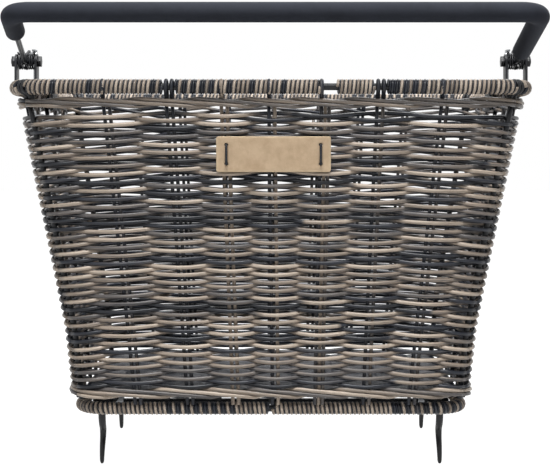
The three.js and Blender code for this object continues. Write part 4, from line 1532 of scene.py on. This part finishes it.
@dataclass
class Handle:
    """The drop handle: foam grip, tube, flat arms, crank pins and return springs."""

    rest_angle: float = 10.0
    pivot_height: float = 312 * MM
    arm_length: float = 172 * MM
    arm_bend: float = 16 * MM
    pivot_half: float = 230.9 * MM
    bar_half: float = 219.6 * MM
    bar_shift: float = 4.3 * MM
    grip_radius: float = 8.5 * MM
    tube_radius: float = 5 * MM
    elbow: float = 18 * MM
    grip_left: float = 64 * MM
    grip_right: float = 134 * MM
    grip_spacing: float = 3 * MM
    grip_round: float = 1.6 * MM
    tube_inset: float = 6 * MM
    arm_thickness: float = 2.2 * MM
    spring_wire: float = 0.8 * MM
    spring_gap: float = 0.3 * MM
    spring_radius: float = 6.9 * MM
    spring_pitch: float = 2.05 * MM
    spring_turns: float = 2.5
    spring_steps: int = 24
    spring_depth: float = 4.7 * MM
    spring_hook: float = 1.6 * MM
    spring_leg: float = 14 * MM
    spring_tail: float = 7 * MM
    spring_held: float = 0.2 * MM

    def placed(self, points: np.ndarray) -> np.ndarray:
        """Raise points drawn with level arms to the handle's angle at rest.

        Args:
            points: the points, seen from the hinge with the arms level.

        Returns:
            Their places at rest.
        """
        turn = Matrix.Rotation(math.radians(-self.rest_angle), 3, "X")
        lift = np.array([0.0, 0.0, self.pivot_height])
        return np.asarray(points) @ np.array(turn).T + lift

    def arm_x(self, distance: float, end: int) -> float:
        """Return how far an arm stands from the middle at a distance from its pivot.

        Args:
            distance: the distance along the arm.
            end: -1 for the left arm and 1 for the right one.

        Returns:
            Its place along X, without its sign.
        """
        lean = self.pivot_half - self.bar_half - end * self.bar_shift
        splay = lean / (self.arm_length - self.arm_bend)
        return self.pivot_half - splay * max(distance - self.arm_bend, 0)

    def bar_path(self, left: float, right: float) -> np.ndarray:
        """Return the bar's stations from a distance along one arm to one along the other.

        Args:
            left: the distance from the hinge along the left arm.
            right: the distance from the hinge along the right arm.

        Returns:
            The stations, drawn with level arms.
        """
        far = self.arm_length
        corners = [(-self.arm_x(left, -1), -left, 0), (-self.arm_x(far, -1), -far, 0),
                   (self.arm_x(far, 1), -far, 0), (self.arm_x(right, 1), -right, 0)]
        return bent_path(corners, self.elbow, steps=14)

    def resampled(self, path: np.ndarray, spacing: float) -> np.ndarray:
        """Space a path's stations evenly.

        Args:
            path: the stations.
            spacing: how far apart the new ones stand at least.

        Returns:
            The new stations.
        """
        run = run_length(path)
        even = np.linspace(0, run[-1], int(run[-1] / spacing) + 1)
        return np.stack([np.interp(even, run, path[:, axis]) for axis in range(3)], axis=1)

    def build(self) -> None:
        """Build the grip and tube, refine the arms and pins, and coil the springs."""
        left = self.arm_length - self.grip_left
        right = self.arm_length - self.grip_right
        path = self.resampled(self.bar_path(left, right), self.grip_spacing)
        run = run_length(path)
        from_end = np.clip(np.minimum(run, run[-1] - run) / self.grip_round, 0, 1)
        radius = self.grip_radius - self.grip_round * (1 - np.sqrt(1 - (1 - from_end) ** 2))
        grip = Strand(self.placed(path), radius, sides=32)
        dress(strands("foam_hand_grip", [grip]), "handle", FOAM, "foam_grip")
        path = self.placed(self.bar_path(left + self.tube_inset, right + self.tube_inset))
        tube = Strand(path, self.tube_radius, sides=20)
        dress(strands("bent_handle_tube", [tube]), "handle", COATED, "handle_tube")
        for side in ("left", "right"):
            refit(f"{side}_flat_arm", f"{side}_handle_arm", "handle", COATED, bevel=0.35 * MM)
            refit(f"{side}_drive_pin", f"{side}_crank_pin", "handle", ZINC, bevel=0.3 * MM)
            sign = -1 if side == "left" else 1
            for place, direction in (("outer", 1), ("inner", -1)):
                self.build_spring(side, sign, place, direction)

    def build_spring(self, side: str, sign: int, place: str, direction: int) -> None:
        """Coil one return spring between the arm and the bracket.

        Args:
            side: "left" or "right".
            sign: -1 for the left side and 1 for the right.
            place: "outer" or "inner", from the arm.
            direction: 1 away from the basket and -1 towards it.
        """
        inset = self.spring_gap + self.spring_wire
        start = self.pivot_half + direction * (self.arm_thickness / 2 + inset)
        under = -self.spring_depth - inset
        points = [(start - direction * self.spring_hook, -self.spring_leg - self.spring_hook, under),
                  (start, -self.spring_leg, under),
                  (start, -self.spring_leg / 2, under - self.spring_gap)]
        for step in range(int(self.spring_turns * self.spring_steps) + 1):
            turn = step / self.spring_steps
            angle = 2 * math.pi * turn - math.pi / 2
            points.append((start + direction * self.spring_pitch * turn,
                           self.spring_radius * math.cos(angle),
                           self.spring_radius * math.sin(angle)))
        end = points[-1]
        points.append((end[0], end[1] - self.spring_tail / 2, end[2]))
        points.append((end[0], end[1] - self.spring_tail, end[2]))
        path = self.placed(np.array(points)) * np.array([sign, 1, 1])
        wire = Strand(path, self.spring_wire, sides=10)
        spring = strands(f"{side}_{place}_return_spring", [wire])
        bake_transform(spring)
        finish_piece(spring, COATED, f"{side}_{place}_spring")


@dataclass
class Hinges:
    """The saddle brackets over the rim, with their rivets, bolts and nuts."""

    def build(self) -> None:
        """Round the edges of every plate and fastener."""
        for side in ("left", "right"):
            refit(f"{side}_saddle_bracket", f"{side}_hinge_bracket", "basket", COATED,
                  bevel=0.45 * MM, segments=3)
            for place in ("front", "rear"):
                refit(f"{side}_{place}_domed_rivet", f"{side}_{place}_rivet", "basket", ZINC,
                      bevel=0.7 * MM, segments=3)
            refit(f"{side}_hex_bolt", f"{side}_pivot_bolt", "basket", COATED,
                  bevel=0.5 * MM, segments=3)
            refit(f"{side}_hex_nut", f"{side}_pivot_nut", "basket", COATED, bevel=0.4 * MM)


@dataclass
class HookGear:
    """Push rods outside the short walls, and the hook shafts that they turn."""

    shaft_radius: float = 2.8 * MM
    shaft_height: float = 5 * MM
    shaft_half: float = 78 * MM
    crank_arm: float = 50 * MM
    rod_low: float = 156 * MM
    shaft_bend: float = 4 * MM
    hook_half: float = 150 * MM
    hook_radius: float = 3.3 * MM
    tip_share: float = 0.55
    taper_from: float = 0.2
    taper_power: float = 1.3
    tip_end: float = 1.02
    tip_round: float = 0.06
    hook_reach: float = 55 * MM
    hook_catch: float = 8 * MM
    hub_radius: float = 4.9 * MM
    hub_length: float = 10 * MM
    hub_inset: float = 3.5 * MM
    hub_chamfer: float = 0.5 * MM
    hub_end_share: float = 0.9
    leg_route: tuple[tuple[float, float], ...] = (
        (0, -0.05), (0, -0.25), (0.35, -0.36), (0.97, -0.47), (0.93, -0.58), (0.4, -0.73),
        (0.05, -0.87), (0, -1),
    )

    def build(self) -> None:
        """Build both shafts with their hooks and clips, and the push rods."""
        for side in ("left", "right"):
            refit(f"{side}_forked_push_rod", f"{side}_push_rod", f"{side}_push_rod", ZINC,
                  bevel=0.25 * MM)
        for place, sign in (("front", -1), ("rear", 1)):
            self.build_shaft(place, sign)

    def build_shaft(self, place: str, sign: int) -> None:
        """Build one cranked shaft, its two hooks and its two clips.

        Args:
            place: "front" or "rear".
            sign: -1 for the front and 1 for the rear.
        """
        y = sign * self.shaft_half
        inner = sign * (self.shaft_half - self.crank_arm)
        z = self.shaft_height
        corners = [(-self.rod_low, inner, z), (-self.rod_low, y, z),
                   (self.rod_low, y, z), (self.rod_low, inner, z)]
        shaft = Strand(bent_path(corners, self.shaft_bend, steps=8), self.shaft_radius, sides=18)
        dress(strands(f"{place}_cranked_shaft", [shaft]), f"{place}_hooks", COATED,
              f"{place}_hook_shaft")
        for side, end in (("left", -1), ("right", 1)):
            middle = end * (self.hook_half - self.hub_inset)
            half = self.hub_length / 2
            hub_path = np.array([[middle + away, y, z] for away in (
                -half, self.hub_chamfer - half, half - self.hub_chamfer, half)])
            hub_radius = np.array([self.hub_end_share, 1, 1, self.hub_end_share]) * self.hub_radius
            route = [(end * self.hook_half, y - sign * self.hook_catch * across,
                      z + self.hook_reach * down) for across, down in self.leg_route]
            leg_path = smooth_path(route, steps=5)
            run = np.linspace(0, 1, len(leg_path))
            tapered = np.clip((run - self.taper_from) / (1 - self.taper_from), 0, 1)
            taper = 1 - (1 - self.tip_share) * tapered**self.taper_power
            taper = taper * np.sqrt(np.clip((self.tip_end - run) / self.tip_round, 0, 1))
            parts = [Strand(hub_path, hub_radius, sides=20),
                     Strand(leg_path, self.hook_radius * taper, sides=16)]
            hook = strands(f"{place}_{side}_carrier_hook", parts)
            dress(hook, f"{place}_hooks", COATED, f"{place}_{side}_hook")
            refit(f"{place}_{side}_shaft_clip", f"{place}_{side}_clip", "basket", ZINC,
                  bevel=0.4 * MM)


@dataclass
class Studio:
    """A plain pale floor in white surroundings, soft lights and the camera."""

    camera_x: float = 3.7 * MM
    camera_y: float = -1310 * MM
    camera_z: float = 228.4 * MM
    focal_px: float = 1386.0
    horizon_px: float = 83.5
    sensor_mm: float = 36.0
    floor_z: float = -50.5 * MM
    floor_size: float = 8.0
    floor_paint: float = 0.6
    floor_glow: float = 1.75
    floor_share: float = 0.6
    soft_strength: float = 0.1

    def build_camera(self) -> None:
        """Look straight along +Y, with the horizon as high as the viewing angle asks."""
        data = bpy.data.cameras.new("basket_camera")
        data.sensor_width = self.sensor_mm
        data.lens = self.focal_px / PHOTO_WIDTH * self.sensor_mm
        data.shift_y = -self.horizon_px / PHOTO_WIDTH
        data.clip_start = 0.01
        data.clip_end = 50
        camera = new_object("basket_camera", data)
        camera.location = (self.camera_x, self.camera_y, self.camera_z)
        camera.rotation_euler = (math.pi / 2, 0, 0)
        bpy.context.scene.camera = camera

    def seen_rays(self, tree: bpy.types.NodeTree) -> bpy.types.Node:
        """Pick out the rays that show the surroundings: straight, mirrored or through glass.

        Args:
            tree: the node tree to work in.

        Returns:
            A node whose output is 1 for these rays.
        """
        path = add_node(tree, "ShaderNodeLightPath")
        straight = add_node(tree, "ShaderNodeMath",
                            {0: path.outputs["Is Camera Ray"], 1: path.outputs["Is Glossy Ray"]},
                            operation="MAXIMUM")
        return add_node(tree, "ShaderNodeMath",
                        {0: straight.outputs[0], 1: path.outputs["Is Transmission Ray"]},
                        operation="MAXIMUM")

    def build_world(self) -> None:
        """Light softly from all round, and show plain white behind the object."""
        world = bpy.data.worlds.new("studio_world")
        bpy.context.scene.world = world
        tree = empty_tree(world)
        seen = self.seen_rays(tree)
        soft = add_node(tree, "ShaderNodeBackground",
                        {"Color": WHITE, "Strength": self.soft_strength})
        white = add_node(tree, "ShaderNodeBackground", {"Color": WHITE, "Strength": 1.0})
        mix = add_node(tree, "ShaderNodeMixShader",
                       {0: seen.outputs[0], 1: soft.outputs[0], 2: white.outputs[0]})
        add_node(tree, "ShaderNodeOutputWorld", {"Surface": mix.outputs[0]})

    def build_floor(self) -> None:
        """Lay a wide pale floor that still takes the object's shadow."""
        bm = bmesh.new()
        bmesh.ops.create_grid(bm, x_segments=1, y_segments=1, size=self.floor_size)
        bmesh.ops.translate(bm, verts=bm.verts[:], vec=(0, 0, self.floor_z))
        floor = new_object("studio_floor", mesh_from("studio_floor", bm))
        material = bpy.data.materials.new("pale_studio_floor")
        tree = empty_tree(material)
        seen = self.seen_rays(tree)
        grey = (self.floor_paint, self.floor_paint, self.floor_paint, 1)
        paint = add_node(tree, "ShaderNodeBsdfDiffuse", {"Color": grey})
        glow = add_node(tree, "ShaderNodeEmission", {"Color": WHITE, "Strength": self.floor_glow})
        share = add_node(tree, "ShaderNodeMath",
                         {0: seen.outputs[0], 1: self.floor_share}, operation="MULTIPLY")
        mix = add_node(tree, "ShaderNodeMixShader",
                       {0: share.outputs[0], 1: paint.outputs[0], 2: glow.outputs[0]})
        add_node(tree, "ShaderNodeOutputMaterial", {"Surface": mix.outputs[0]})
        floor.data.materials.append(material)
        floor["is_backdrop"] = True

    def add_light(self, name: str, place: Sequence[float], aim: Sequence[float],
                  size: float, watts: float) -> None:
        """Hang one square soft light and aim it.

        Args:
            name: the light's name.
            place: where it hangs.
            aim: the point that it faces.
            size: the length of its side.
            watts: its power.
        """
        data = bpy.data.lights.new(name, "AREA")
        data.shape = "SQUARE"
        data.size = size
        data.energy = watts
        light = new_object(name, data)
        light.location = place
        direction = Vector(aim) - Vector(place)
        light.rotation_euler = direction.to_track_quat("-Z", "Y").to_euler()

    def build(self) -> None:
        """Set up the view, the surroundings and the lights."""
        self.build_camera()
        self.build_world()
        self.build_floor()
        self.add_light("overhead_softbox", (0.0, -0.62, 1.6), (0, 0, 0.15), size=0.75, watts=38)
        self.add_light("front_fill", (-0.7, -2.0, 0.9), (0, 0, 0.14), size=1.2, watts=3)
        self.add_light("rear_softbox", (0.5, 1.2, 1.5), (0, 0, 0.15), size=1.1, watts=14)
        bpy.context.scene.view_settings.view_transform = "Standard"


def write_sizes() -> None:
    """Turn the frame's box and the dressed model's box into JSON text, which is not written anywhere.
    """
    for low_high in (cad_box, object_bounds()):
        json.dumps([[float(value) for value in corner] for corner in low_high])


def build_rims(shell: Shell, looped: Sequence[int]) -> None:
    """Build both rims, and leave the top winding open where loops and posts come over it.

    Args:
        shell: the basket's shape.
        looped: the front uprights that have two loops.
    """
    corner = shell.top_width / 2 - shell.top_rim_radius + shell.top_corner * (math.pi / 4 - 1)
    top = Rim("top", shell.top_width, shell.top_depth, shell.top_rim_radius, shell.top_corner,
              shell.height - shell.top_rim_radius, TOP_GAP, lay=1)
    loops = [shell.front_high[index] * shell.top_width for index in looped]
    posts = [corner, -corner, top.length / 2 - corner, top.length / 2 + corner]
    top.breaks = tuple((place, LOOP_BREAK) for place in (*loops, *posts))
    top.build()
    Rim("bottom", shell.bottom_width, shell.bottom_depth, shell.bottom_rim_radius,
        shell.bottom_corner, shell.bottom_rim_radius, BOTTOM_SEAM, lay=-1).build()


def main() -> None:
    """Build the studio and every sub-assembly of the basket."""
    logging.basicConfig(level=logging.INFO, format="%(relativeCreated)d ms %(name)s: %(message)s")
    shell = Shell()
    Studio().build()
    Weave(shell).build()
    uprights = Stakes(shell)
    uprights.build()
    build_rims(shell, uprights.black[Wall.FRONT])
    Floor(shell).build()
    Label().build()
    Handle().build()
    Hinges().build()
    HookGear().build()
    write_sizes()


if __name__ == "__main__":
    main()
